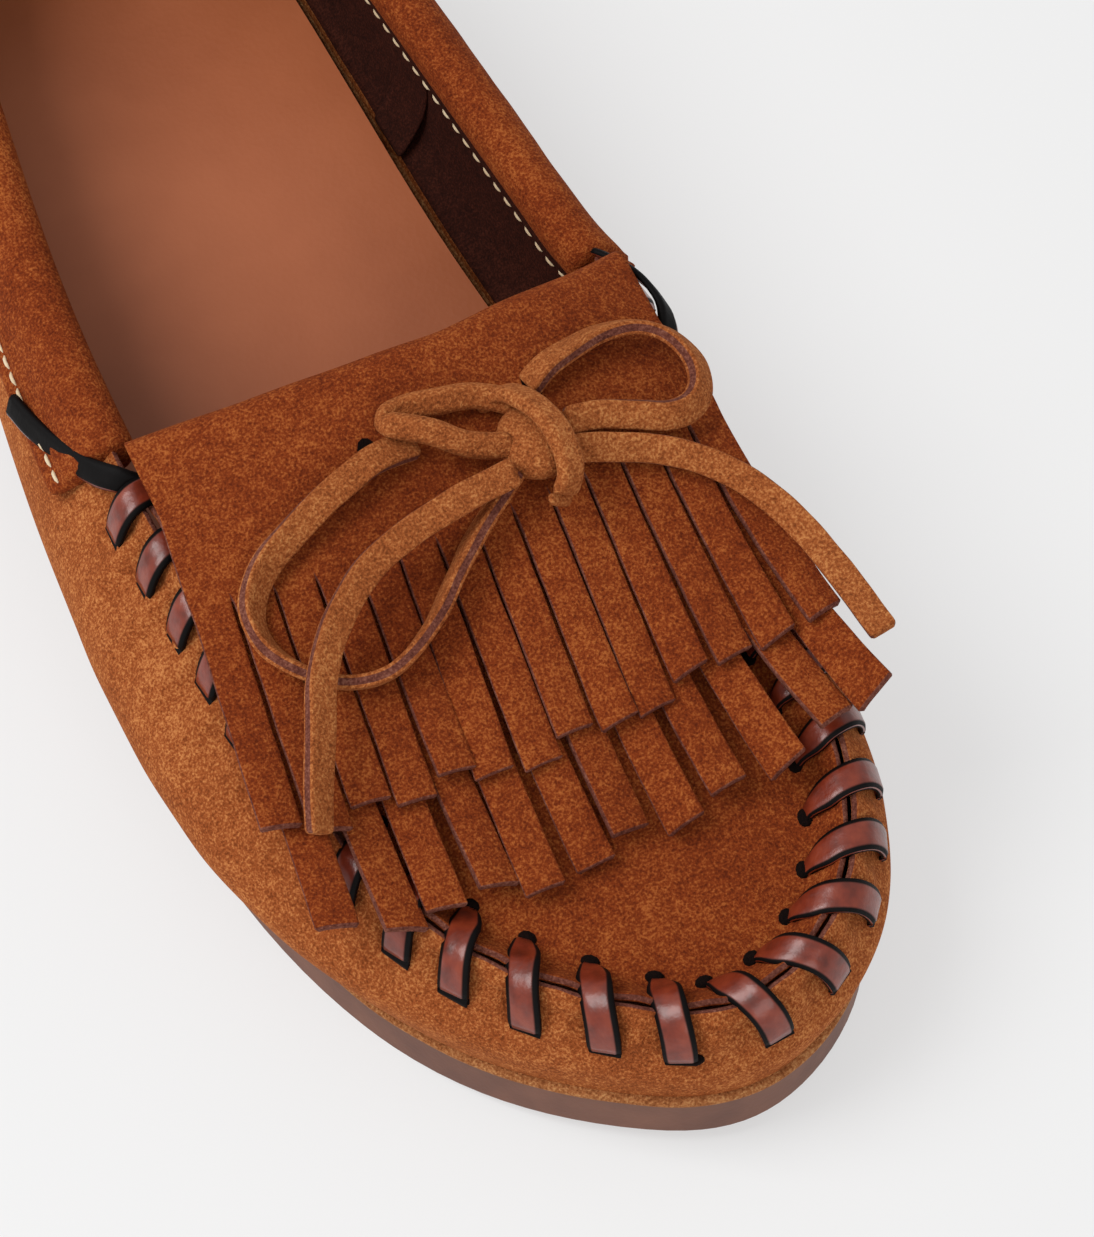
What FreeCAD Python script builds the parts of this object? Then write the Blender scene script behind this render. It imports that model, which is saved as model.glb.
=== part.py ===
"""A right-foot women's fringed suede moccasin, in millimetres.

+Z is up, the toe points to -Y, the heel to +Y and the big-toe (medial) side to +X. The origin is on
the floor, under the middle of the shoe.

The upper hangs on a "last": a ring of stations round the edge of the sole. At each station a profile
climbs from the feather edge (where upper meets sole), over the bulge and the shoulder, to the top line.
In the forefoot the top line is the crest of the puckered seam; behind the throat it is the edge of the
collar. Each leather piece is a band of that surface, between two depths measured inward from the outside
of the suede.
"""

import FreeCAD, Part
import math
import os

from FreeCAD import Vector

# ---------------------------------------------------------------------------------- driving dimensions
SIZES = [
    ("sole_thick", 8.0, "rubber outsole, from ground to feather edge under the ball"),
    ("heel_rise", 8.0, "height of the low heel under the outsole"),
    ("heel_breast", 60.0, "distance of the heel's front face behind the middle"),
    ("toe_spring", 4.0, "lift of the outsole at the tip of the toe"),
    ("board_thick", 2.0, "fibre insole board"),
    ("foam_thick", 2.6, "foam layer under the sock"),
    ("sock_thick", 1.4, "leather sock"),
    ("suede_thick", 1.6, "suede of vamp, quarters and plug"),
    ("lining_thick", 1.0, "lining leather"),
    ("counter_thick", 1.1, "heel stiffener between quarter and lining"),
    ("layer_gap", 0.3, "glue line or air between two layers"),
    ("cuff_thick", 1.4, "folded suede collar"),
    ("cuff_gap", 0.3, "room between the collar fold and the quarter"),
    ("collar_room", 1.2, "room in the collar fold beside suede and lining"),
    ("cuff_outer_leg", 12.0, "collar fold, outside"),
    ("cuff_inner_leg", 8.0, "collar fold, inside"),
    ("cuff_seam", 10.3, "collar stitching, below the fold"),
    ("ridge_half", 2.9, "half the width of the puckered seam, vamp side"),
    ("ridge_plug", 5.6, "width of the puckered seam, plug side"),
    ("ridge_depth", 5.0, "height of the puckered seam"),
    ("lace_wide", 4.8, "flat lace of the whip stitches"),
    ("lace_thick", 1.1, "thickness of that lace"),
    ("lace_clear", 0.4, "air between that lace and the seam"),
    ("stitch_count", 27.0, "whip stitches round the plug"),
    ("flap_thick", 1.6, "suede of the two fringe layers"),
    ("flap_root", -22.0, "where the fringe layers leave the throat fold"),
    ("flap_gap", 0.6, "air between the fringe layers"),
    ("flap_clear", 3.0, "room for the seam's lace under the fringe's edges"),
    ("upper_strips", 14.0, "strips of the upper fringe"),
    ("lower_strips", 12.0, "strips of the lower fringe"),
    ("thong_wide", 4.4, "width of the bow's suede thong"),
    ("knot_half_x", 6.4, "half the knot's size across the shoe"),
    ("knot_half_y", 7.6, "half the knot's size along the shoe"),
    ("knot_half_z", 4.3, "half the knot's height"),
    ("thread_wide", 0.7, "collar thread"),
    ("thread_long", 2.6, "one stitch of the collar thread"),
    ("plan_reach", 60.0, "height of the block that a sole layer's outline is cut from"),
    ("side_reach", 200.0, "width of the block that a sole layer's side profile is cut from"),
]

doc = FreeCAD.newDocument("moccasin")
sheet = doc.addObject("Spreadsheet::Sheet", "dims")
for row, (alias, value, meaning) in enumerate(SIZES, start=1):
    sheet.set(f"A{row}", meaning)
    sheet.set(f"B{row}", str(value))
    sheet.setAlias(f"B{row}", alias)
doc.recompute()


def dim(alias):
    """The value of one cell of the sheet."""
    return float(sheet.get(alias))


# -------------------------------------------------------------------------------------------- the last
# One row per station, from the back of the heel round the outer (lateral) side to the toe and back along
# the inner (medial) side: x, y of the sole's edge, then how far out and how high the bulge, the shoulder
# and the top line are.
STATIONS = [
    (3, 124, 3.0, 34, 2.0, 50, -4.0, 63),
    (-17, 119, 3.0, 34, 2.0, 49, -4.0, 62),
    (-30, 96, 3.5, 32, 1.5, 46, -4.5, 57),
    (-34.5, 66, 4.0, 30, 1.0, 42, -5.0, 52),
    (-39, 28, 5.0, 27, 1.5, 38, -5.0, 47.5),
    (-43.5, -12, 5.0, 24, 0.5, 34, -9.0, 42.5),
    (-43, -48, 5.5, 20, 1.0, 29, -10.8, 38),
    (-37, -79, 4.0, 18.5, 0.0, 25, -8.0, 32.2),
    (-24, -105, 1.0, 18, -1.5, 23, -7.5, 28.5),
    (-6, -122, -0.5, 18.5, -2.5, 22.5, -7.5, 27.5),
    (14, -128, -0.5, 18.5, -2.5, 22.5, -7.0, 27.5),
    (36, -114, 2.5, 18.5, 0.0, 23, -4.5, 28),
    (45, -85, 4.5, 19, 3.0, 25, -1.5, 30.5),
    (45, -50, 5.0, 21, 3.5, 30, -1.5, 36.5),
    (42, -12, 6.0, 25, 5.0, 35, 3.5, 42.5),
    (37, 28, 7.0, 28, 6.5, 39, 5.0, 48),
    (35.5, 66, 5.0, 30, 4.5, 43, 2.0, 52.5),
    (33.5, 96, 4.0, 32, 2.0, 47, -3.0, 58),
    (21.5, 118, 3.0, 34, 2.0, 50, -4.0, 62),
]
COUNT = len(STATIONS)
LATERAL_SEAM, MEDIAL_SEAM = 3.5, 15.5  # where vamp and quarters meet
LATERAL_THROAT, MEDIAL_THROAT = 4.86, 14.12  # the two ends of the puckered seam


def table(x, pairs):
    """Straight interpolation in a short list of (x, value) pairs, with both ends held."""
    if x <= pairs[0][0]:
        return pairs[0][1]
    for (x0, v0), (x1, v1) in zip(pairs, pairs[1:]):
        if x <= x1:
            return v0 + (v1 - v0) * (x - x0) / (x1 - x0)
    return pairs[-1][1]


def smooth(x, low, high):
    """0 below low, 1 above high, with an easy curve between."""
    x = min(1.0, max(0.0, (x - low) / (high - low)))
    return x * x * (3 - 2 * x)


FLAT_TREAD = (-88.0, -10.0)  # where the underside lies flat on the ground


def sole_low(y):
    """Underside of the outsole along the shoe: toe spring, flat tread, then up to the top of the heel."""
    spring = dim("toe_spring") * smooth(-y, -FLAT_TREAD[0], 132)
    return spring + dim("heel_rise") * smooth(y, FLAT_TREAD[1], 62)


def sole_high(y):
    return sole_low(y) + dim("sole_thick")


def ring(points):
    """A closed smooth curve through one point per station; its parameter is the station number."""
    curve = Part.BSplineCurve()
    curve.interpolate(Points=points, Parameters=[float(i) for i in range(len(points) + 1)], PeriodicFlag=True)
    return curve


sole_edge = ring([Vector(s[0], s[1], 0) for s in STATIONS])


def edge_frame(u):
    """Point on the sole's edge and the level direction pointing out of the shoe there."""
    u = u % COUNT
    tangent = sole_edge.tangent(u)[0]
    return sole_edge.value(u), Vector(tangent.y, -tangent.x, 0) * SIDE


SIDE = 1.0
if edge_frame(0)[1].y < 0:
    SIDE = -1.0


def level_ring(out_column, high_column):
    points = []
    for i, row in enumerate(STATIONS):
        point, out = edge_frame(i)
        points.append(point + out * row[out_column] + Vector(0, 0, row[high_column]))
    return ring(points)


bulge_ring = level_ring(2, 3)
shoulder_ring = level_ring(4, 5)
top_ring = level_ring(6, 7)


def ridge_share(u):
    """1 where the top line is the puckered seam, 0 where it is the collar."""
    return smooth(u, LATERAL_THROAT - 0.3, LATERAL_THROAT + 0.2) * (
        1 - smooth(u, MEDIAL_THROAT - 0.2, MEDIAL_THROAT + 0.3)
    )


def profile(u):
    """The outside of the suede at one station, from the feather edge (0) to the top line (1)."""
    u = u % COUNT
    edge, out = edge_frame(u)
    feather = edge - out * 1.0 + Vector(0, 0, sole_high(edge.y) + dim("layer_gap"))
    bulge, shoulder, top = bulge_ring.value(u), shoulder_ring.value(u), top_ring.value(u)
    on_collar = (shoulder + top) * 0.5 + out * 0.6
    on_ridge = top + out * dim("ridge_half") - Vector(0, 0, 0.42 * dim("ridge_depth"))
    share = ridge_share(u)
    last = on_ridge * share + on_collar * (1 - share)
    curve = Part.BSplineCurve()
    curve.interpolate(Points=[feather, bulge, shoulder, last, top], Parameters=[0.0, 0.35, 0.62, 0.85, 1.0])
    return curve, out


def inward(curve, out, t):
    """Unit vector into the shoe, square to the profile."""
    tangent = curve.tangent(t)[0]
    rise, run = tangent.z, tangent.dot(out)
    normal = Vector(0, 0, run) - out * rise
    return normal.normalize() * (1 if rise > -0.2 else -1)


def spline(points):
    """A smooth edge through points, with whole-number parameters so that neighbouring sections match."""
    curve = Part.BSplineCurve()
    curve.interpolate(Points=points, Parameters=[float(i) for i in range(len(points))])
    return curve.toShape()


def free_spline(points):
    """A smooth edge through unevenly spaced points."""
    curve = Part.BSplineCurve()
    curve.interpolate(Points=points)
    return curve.toShape()


def line(a, b):
    return Part.LineSegment(a, b).toShape()


def stations(start, end, step):
    """Evenly spaced station numbers from start to end."""
    count = max(2, int(round(abs(end - start) / step)) + 1)
    return [start + (end - start) * i / (count - 1) for i in range(count)]


def skin(sections):
    """A closed solid through sections made of four edges: outer spline, top line, inner spline, bottom line."""
    wall = Part.makeLoft([Part.Wire(edges) for edges in sections], False, False)
    caps = [Part.makeRuledSurface(edges[0], edges[2]) for edges in (sections[0], sections[-1])]
    shell = Part.makeShell(wall.Faces + caps)
    shell.sewShape(1e-4)
    solid = Part.makeSolid(Part.makeShell(shell.Faces))
    if solid.Volume < 0:
        solid.reverse()
    return solid


def four_edges(outer, inner):
    """Section edges from the outer points, bottom to top, and the inner points, top to bottom."""
    return [spline(outer), line(outer[-1], inner[0]), spline(inner), line(inner[-1], outer[0])]


def band(start, end, shallow, deep, low=0.0, high=1.0, step=0.25, high_of=None):
    """One leather piece: the part of the profile between low and high, from depth shallow to depth deep."""
    wires = []
    for u in stations(start, end, step):
        curve, out = profile(u)
        top = high_of(u) if high_of else high
        marks = [low + (top - low) * i / 4 for i in range(5)]
        outer = [curve.value(t) + inward(curve, out, t) * shallow for t in marks]
        inner = [curve.value(t) + inward(curve, out, t) * deep for t in reversed(marks)]
        wires.append(four_edges(outer, inner))
    return skin(wires)


# ------------------------------------------------------------------------------- the document's pieces
LAST_MIDDLE = Vector(1.3, 0.6, 0)  # middle of the finished shoe in the last's own coordinates
TO_ORIGIN = FreeCAD.Placement(LAST_MIDDLE * -1, FreeCAD.Rotation())
pieces = []


def feature(label, shape):
    """A piece whose shape comes from the functions above."""
    item = doc.addObject("Part::Feature", label)
    item.Label = label
    item.Shape = shape
    item.Placement = TO_ORIGIN
    pieces.append(item)
    return item


def flat_ring(inset):
    """The sole's outline, moved inward."""
    points = []
    for i in range(COUNT):
        point, out = edge_frame(i)
        points.append(point - out * inset)
    return ring(points)


UPRIGHT = FreeCAD.Rotation(Vector(0, 1, 0), Vector(0, 0, 1), Vector(1, 0, 0))


def extrusion(label, curves, rotation, cell, both_ways):
    """A sketch of the given curves, extruded along its normal by the length in one cell of the sheet."""
    sketch = doc.addObject("Sketcher::SketchObject", label + "_sketch")
    sketch.Placement = FreeCAD.Placement(Vector(0, 0, 0), rotation)
    for curve in curves:
        sketch.addGeometry(curve, False)
    solid = doc.addObject("Part::Extrusion", label + "_run")
    solid.Base = sketch
    solid.DirMode = "Normal"
    solid.setExpression("LengthFwd", "dims." + cell)
    solid.Symmetric = both_ways
    solid.Solid = True
    return solid


def side_run(height_of, start, end, count):
    """A smooth line in the (y, z) plane at a height along the shoe."""
    ys = [start + (end - start) * i / count for i in range(count + 1)]
    curve = Part.BSplineCurve()
    curve.interpolate(Points=[Vector(y, height_of(y), 0) for y in ys])
    return curve


def side_profile(low_of, high_of, start, end, flat):
    """Closed outline in the (y, z) plane between two heights along the shoe, straight below over flat."""
    flat_start, flat_end = flat
    lower = []
    if start < flat_start:
        lower.append(side_run(low_of, start, flat_start, 6))
    if flat_start < flat_end:
        face_start, face_end = Vector(flat_start, low_of(flat_start), 0), Vector(flat_end, low_of(flat_end), 0)
        lower.append(Part.LineSegment(face_start, face_end))
    if flat_end < end:
        lower.append(side_run(low_of, flat_end, end, 12))
    ends = [Part.LineSegment(Vector(y, low_of(y), 0), Vector(y, high_of(y), 0)) for y in (start, end)]
    return lower + ends + [side_run(high_of, start, end, 12)]


def layer(label, inset, low_of, high_of, start=-150.0, end=150.0, flat=(-150.0, -150.0)):
    """A flat sheet of the sole's outline, bent to the sole's side profile."""
    plan = extrusion(label + "_plan", [flat_ring(inset)], FreeCAD.Rotation(), "plan_reach", False)
    outline = side_profile(low_of, high_of, start, end, flat)
    side = extrusion(label + "_side", outline, UPRIGHT, "side_reach", True)
    both = doc.addObject("Part::Common", label)
    both.Label = label
    both.Base = plan
    both.Tool = side
    both.Placement = TO_ORIGIN
    pieces.append(both)
    return both


# ------------------------------------------------------------------------------------------- sole unit
def build_sole():
    gap = dim("layer_gap")
    breast = dim("heel_breast")
    layer("outsole", 0.0, sole_low, sole_high, flat=FLAT_TREAD)
    layer("heel_lift", 0.6, lambda y: 0.0, lambda y: sole_low(y) - 0.02, breast, 150.0, (breast, 150.0))
    board = gap + dim("board_thick")
    foam = board + 0.1 + dim("foam_thick")
    sock = foam + 0.1 + dim("sock_thick")
    layer("insole_board", 4.6, lambda y: sole_high(y) + gap, lambda y: sole_high(y) + board)
    layer("foam_insole", 4.2, lambda y: sole_high(y) + board + 0.1, lambda y: sole_high(y) + foam)
    layer("sock_lining", 4.0, lambda y: sole_high(y) + foam + 0.1, lambda y: sole_high(y) + sock)


# ----------------------------------------------------------------------------------------------- upper
def ridge_point(u, out_by, up_by):
    """A point beside the crest of the seam: out_by outward from the crest, up_by above it."""
    return top_ring.value(u % COUNT) + edge_frame(u)[1] * out_by + Vector(0, 0, up_by)


def vamp_wall():
    """The vamp: a thin wall whose top edge stands up as the outer half of the puckered seam."""
    thick, depth = dim("suede_thick"), dim("ridge_depth")
    wires = []
    for u in stations(LATERAL_SEAM, MEDIAL_SEAM, 0.25):
        curve, out = profile(u)
        marks = [0.0, 0.2, 0.4, 0.62, 0.75, 0.88, 1.0]
        outer = [curve.value(t) for t in marks]
        share = ridge_share(u)
        inner = [point + inward(curve, out, t) * thick for point, t in zip(outer, marks)]
        seam_foot = ridge_point(u, 0, -depth)
        for i, way in ((4, 0.35), (5, 0.7), (6, 1.0)):
            to_seam = inner[3] + (seam_foot - inner[3]) * way
            inner[i] = to_seam * share + inner[i] * (1 - share)
        inner.reverse()
        wires.append(four_edges(outer, inner))
    return skin(wires)


def lining_top(u):
    """The lining runs to the collar's edge behind the throat and stops under the seam in front of it."""
    return 0.985 - 0.42 * ridge_share(u)


def build_upper():
    gap, suede, lining = dim("layer_gap"), dim("suede_thick"), dim("lining_thick")
    inner = suede + gap
    seam_gap = 0.02
    feature("vamp", vamp_wall())
    feature("quarter_lateral", band(0.02, LATERAL_SEAM - seam_gap, 0, suede))
    feature("quarter_medial", band(MEDIAL_SEAM + seam_gap, COUNT - 0.02, 0, suede))
    loose = inner + 0.1
    feature("vamp_lining", band(LATERAL_SEAM, MEDIAL_SEAM, loose, loose + lining, 0.03, high_of=lining_top))
    behind = inner + dim("counter_thick") + gap
    feature("heel_counter", band(-1.7, 1.9, inner, inner + dim("counter_thick"), 0.05, 0.62, 0.2))
    feature("quarter_lining_lateral", lining_behind_counter(0.02, LATERAL_SEAM - seam_gap, inner, behind))
    feature("quarter_lining_medial", lining_behind_counter(MEDIAL_SEAM + seam_gap, COUNT - 0.02, inner, behind))
    feature("heel_backstay", band(-0.3, 0.36, -gap - 1.3, -gap, 0.02, 0.66, 0.11))


def lining_behind_counter(start, end, plain, behind):
    """A lining band that stands further in where the heel counter lies outside it."""
    wires = []
    for u in stations(start, end, 0.2):
        curve, out = profile(u)
        near_heel = min(u, COUNT - u)
        extra = (behind - plain) * (1 - smooth(near_heel, 1.9, 2.4))
        marks = [0.03 + 0.955 * i / 5 for i in range(6)]
        shallow = [plain + extra * (1 - smooth(t, 0.66, 0.8)) for t in marks]
        outer = [curve.value(t) + inward(curve, out, t) * d for t, d in zip(marks, shallow)]
        deep = [d + dim("lining_thick") for d in shallow]
        inner = [curve.value(t) + inward(curve, out, t) * d for t, d in zip(marks, deep)]
        inner.reverse()
        wires.append(four_edges(outer, inner))
    return skin(wires)


def collar_axes(u):
    """Top of the quarter, the direction down its outside, and the direction out of the shoe, square to that."""
    curve, out = profile(u)
    top = curve.value(1.0)
    down = (curve.value(0.86) - top).normalize()
    across = inward(curve, out, 0.93) * -1
    return top, down, across


def cuff(start, end):
    """The folded collar: an upside-down U over the edge of quarter and lining."""
    thick, gap = dim("cuff_thick"), dim("cuff_gap")
    core = dim("suede_thick") + dim("layer_gap") + dim("lining_thick") + dim("collar_room")
    wires = []
    for u in stations(start, end, 0.25):
        top, down, across = collar_axes(u)
        outer_leg, inner_leg = dim("cuff_outer_leg"), dim("cuff_inner_leg")

        def spot(out_by, down_by):
            return top + across * out_by + down * down_by

        corners = [
            spot(gap, outer_leg), spot(gap + thick, outer_leg), spot(gap + thick, 0.6),
            spot(0.3, -gap - thick), spot(-core - 0.3, -gap - thick), spot(-core - gap - thick, 0.6),
            spot(-core - gap - thick, inner_leg), spot(-core - gap, inner_leg), spot(-core - gap, -gap),
            spot(gap, -gap),
        ]
        wires.append(Part.makePolygon(corners + corners[:1]))
    return Part.makeLoft(wires, True, False)


def cuff_thread(start, end):
    """Short stitches of thread through the collar, on both faces, as separate solids."""
    solids = []
    core = dim("suede_thick") + dim("layer_gap") + dim("lining_thick")
    radius = dim("thread_wide") / 2
    outside = dim("cuff_gap") + dim("cuff_thick") + radius + 0.05
    inside = -core - radius - 0.35
    marks = stations(start, end, 0.105)
    for a, b in zip(marks[::2], marks[1::2]):
        for level in (outside, inside):
            ends = []
            for u in (a, b):
                top, down, across = collar_axes(u)
                ends.append(top + across * level + down * dim("cuff_seam"))
            run = (ends[1] - ends[0]).normalize()
            solids.append(Part.makeCylinder(radius, dim("thread_long"), ends[0], run))
    return Part.makeCompound(solids)


def build_collar():
    lateral = (0.02, LATERAL_THROAT - 0.12)
    medial = (MEDIAL_THROAT + 0.12, COUNT - 0.02)
    feature("collar_cuff_lateral", cuff(*lateral))
    feature("collar_cuff_medial", cuff(*medial))
    feature("cuff_stitching_lateral", cuff_thread(lateral[0] + 0.1, lateral[1] - 0.1))
    feature("cuff_stitching_medial", cuff_thread(medial[0] + 0.1, medial[1] - 0.1))


# ----------------------------------------------------------------------------------- plug and its seam
CREST = [(-128, 27.5), (-100, 29), (-80, 31.5), (-60, 35), (-40, 38.5), (-20, 41.5), (10, 45)]
CROWN = [(-118, 0.0), (-100, 1.0), (-80, 4.5), (-60, 8.5), (-40, 12.0), (-20, 15.0), (0, 17.0)]
CREST_MIDDLE, CREST_HALF = 4.0, 40.0  # middle and half width of the seam's loop
TOE_EASE = 0.14  # share by which the stitches are further apart round the toe


def plug_height(x, y):
    """Top of the plug: it starts at the foot of the seam on both sides and arches over the instep."""
    s = abs(x - CREST_MIDDLE) / CREST_HALF
    return table(y, CREST) - 0.85 * dim("ridge_depth") + table(y, CROWN) * (1 - s ** 3)


def flap_height(x, y, lift):
    """Underside of a fringe layer: on the plug in the middle, over the crest of the seam at the sides."""
    s = (x - CREST_MIDDLE) / (CREST_HALF + 1)
    side = table(y, CREST) + dim("lace_thick") + dim("flap_clear")
    middle = plug_height(CREST_MIDDLE, y) + dim("flap_gap")
    return side + (middle - side) * (1 - s * s) + lift


def surface(height):
    """A face over the whole forefoot, from a height function of x and y."""
    xs = [-70 + 140 * i / 14 for i in range(15)]
    ys = [-140 + 160 * i / 16 for i in range(17)]
    grid = [[Vector(x, y, height(x, y)) for y in ys] for x in xs]
    face = Part.BSplineSurface()
    face.interpolate(grid)
    return face.toShape()


def sheet_solid(height, thick, outline):
    """The part of a bent sheet that lies above an outline; height is its underside."""
    slab = surface(height).extrude(Vector(0, 0, thick))
    prism = Part.Face(outline).extrude(Vector(0, 0, 90))
    return solid_of(slab.common(prism))


def solid_of(shape):
    """The largest solid of a boolean's result."""
    return max(shape.Solids, key=lambda item: item.Volume)


def throat_y(x):
    """Rear edge of the throat fold, a shallow arc across the foot."""
    s = (x - 5) / 40
    return -14 + 6 * s * s


def crest_outline(inset, start, end, front_line):
    """Closed flat outline inside the seam's crest, closed by an arc a little in front of the throat."""
    points = []
    for u in stations(start, end, 0.6):
        point = ridge_point(u, -inset, 0)
        points.append(Vector(point.x, point.y, 0))
    middle = Vector(5, throat_y(5) - front_line, 0)
    arc = Part.Arc(points[-1], middle, points[0]).toShape()
    return Part.Wire([spline(points), arc])


def plug_rim(start, end):
    """The plug's turned-up edge: the inner half of the puckered seam."""
    wires = []
    depth, wide = dim("ridge_depth"), dim("ridge_plug")
    for u in stations(start, end, 0.25):
        outer_top, outer_foot = ridge_point(u, -0.3, -0.1), ridge_point(u, -0.3, -depth - 0.6)
        inner_foot = ridge_point(u, -wide, -depth - 0.6)
        low, high = ridge_point(u, -wide + 0.3, -0.8 * depth), ridge_point(u, -0.6 * wide, -0.35 * depth)
        curve = spline([inner_foot, low, high, outer_top])
        wires.append(Part.Wire([line(outer_top, outer_foot), line(outer_foot, inner_foot), curve]))
    return Part.makeLoft(wires, True, False)


def stitch_stations(start, end, count):
    """Station numbers of the stitches: evenly spaced along the seam, a little wider apart round the toe."""
    marks = stations(start, end, 0.02)
    walked = [0.0]
    for a, b in zip(marks, marks[1:]):
        at_toe = smooth(a, 6.8, 8.4) * (1 - smooth(a, 10.4, 11.6))
        walked.append(walked[-1] + (top_ring.value(b) - top_ring.value(a)).Length * (1 - TOE_EASE * at_toe))
    pairs = list(zip(walked, marks))
    return [table(walked[-1] * i / (count - 1), pairs) for i in range(count)]


def whip_stitches():
    """The flat lace, one solid per visible turn over the seam."""
    thick, wide, depth = dim("lace_thick"), dim("lace_wide"), dim("ridge_depth")
    half, plug_side, clear = dim("ridge_half"), dim("ridge_plug"), dim("lace_clear")
    count = int(dim("stitch_count"))
    solids = []
    for u in stitch_stations(LATERAL_THROAT + 0.2, MEDIAL_THROAT - 0.2, count):
        out = edge_frame(u)[1]
        along = Vector(0, 0, 1).cross(out)
        start = ridge_point(u, 0, 0) - along * (wide / 2)

        def over_plug(out_by, up_by):
            """Keep a point beside the crest just above the plug's face."""
            spot = ridge_point(u, out_by, 0)
            return out_by, max(up_by, plug_height(spot.x, spot.y) + clear - spot.z)

        spots = [(half + 2.1, -0.8 * depth), (half + 1.0, -0.25 * depth), (0.0, -0.05),
                 over_plug(0.9 - plug_side, -0.36 * depth), over_plug(-plug_side - 1.0, -0.8 * depth)]

        def arch(grow):
            """The spots moved square to the lace's run by grow."""
            result = []
            for i, (out_by, up_by) in enumerate(spots):
                before, after = spots[max(i - 1, 0)], spots[min(i + 1, len(spots) - 1)]
                square = Vector(after[1] - before[1], before[0] - after[0], 0).normalize()
                result.append(start + out * (out_by + square.x * grow) + Vector(0, 0, up_by + square.y * grow))
            return result

        below, above = arch(clear), arch(clear + thick)
        above.reverse()
        edges = [free_spline(below), line(below[-1], above[0]), free_spline(above), line(above[-1], below[0])]
        solids.append(Part.Face(Part.Wire(edges)).extrude(along * wide))
    return Part.makeCompound(solids)


def build_plug():
    suede, lining, gap = dim("suede_thick"), dim("lining_thick"), dim("layer_gap")
    start, end = LATERAL_THROAT + 0.1, MEDIAL_THROAT - 0.1
    rim = plug_rim(start, end)
    outline = crest_outline(0.8, start, end, 3.5)
    plate = sheet_solid(lambda x, y: plug_height(x, y) - suede, suede, outline)
    feature("plug", solid_of(rim.fuse(plate)))
    inner = crest_outline(dim("ridge_plug") + 1.5, start + 0.5, end - 0.5, 10.5)
    feature("plug_lining", sheet_solid(lambda x, y: plug_height(x, y) - suede - gap - lining, lining, inner))
    feature("whip_stitches", whip_stitches())


# ----------------------------------------------------------------------- throat fold and fringe layers
def upper_lift():
    """How far the upper fringe lies above the lower one's underside."""
    return dim("flap_thick") + dim("flap_gap")


def throat_fold():
    """The kiltie's rolled root: a U lying on its side, round the plug's rear edge."""
    thick, suede = dim("flap_thick"), dim("suede_thick")
    front = dim("flap_root") + 0.6
    wires = []
    for x in [-29.5, -24, -15, -5, 5, 16, 26, 35, 40.5]:
        rear = throat_y(x)

        def high(y, drop):
            return flap_height(x, y, upper_lift()) + thick - drop

        def low(y, rise):
            return min(plug_height(x, y) - suede - 0.5 - thick, high(y, 0) - 7.5) + rise

        radius = 3.4
        bend = rear - radius

        def leg(height, offset, y):
            return Vector(x, y, height(y, offset))

        middle = (high(bend, 0) + low(bend, 0)) / 2
        outer = Part.Arc(leg(high, 0, bend), Vector(x, rear, middle), leg(low, 0, bend)).toShape()
        inside = Vector(x, rear - thick, middle)
        inner = Part.Arc(leg(low, thick, bend), inside, leg(high, thick, bend)).toShape()
        wires.append(Part.Wire([
            line(leg(high, 0, front), leg(high, 0, bend)), outer,
            line(leg(low, 0, bend), leg(low, 0, front)),
            line(leg(low, 0, front), leg(low, thick, front)),
            line(leg(low, thick, front), leg(low, thick, bend)), inner,
            line(leg(high, thick, bend), leg(high, thick, front)),
            line(leg(high, thick, front), leg(high, 0, front)),
        ]))
    return Part.makeLoft(wires, True, True)


def fringe(lift, count, root, cut, tip, slot):
    """One fringe layer: a bent sheet cut into strips. root, cut and tip are (left x, right x, middle y,
    side y)."""
    def spot(edge, share):
        left, right, middle_y, side_y = edge
        return Vector(left + (right - left) * share, middle_y + (side_y - middle_y) * (2 * share - 1) ** 2, 0)

    corners = [spot(root, 0.0)]
    for i in range(count):
        a, b = i / count, (i + 1) / count
        half_slot = slot / 2 / (tip[1] - tip[0])
        if i > 0:
            corners.append(spot(cut, a + half_slot))
        corners += [spot(tip, a + half_slot), spot(tip, b - half_slot)]
        if i < count - 1:
            corners.append(spot(cut, b - half_slot))
    corners.append(spot(root, 1.0))
    outline = Part.makePolygon(corners + corners[:1])
    return sheet_solid(lambda x, y: flap_height(x, y, lift), dim("flap_thick"), outline)


def build_kiltie():
    root_y = dim("flap_root")
    feature("throat_fold", throat_fold())
    feature("lower_fringe", fringe(0.0, int(dim("lower_strips")), (-34.5, 45.5, root_y, root_y),
                                   (-35, 47, -48, -44), (-40, 48.5, -93, -85), 1.2))
    feature("upper_fringe", fringe(upper_lift(), int(dim("upper_strips")), (-35, 46, root_y, root_y),
                                   (-36.5, 48, -43.5, -37), (-41, 46.5, -78, -73), 0.6))


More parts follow.
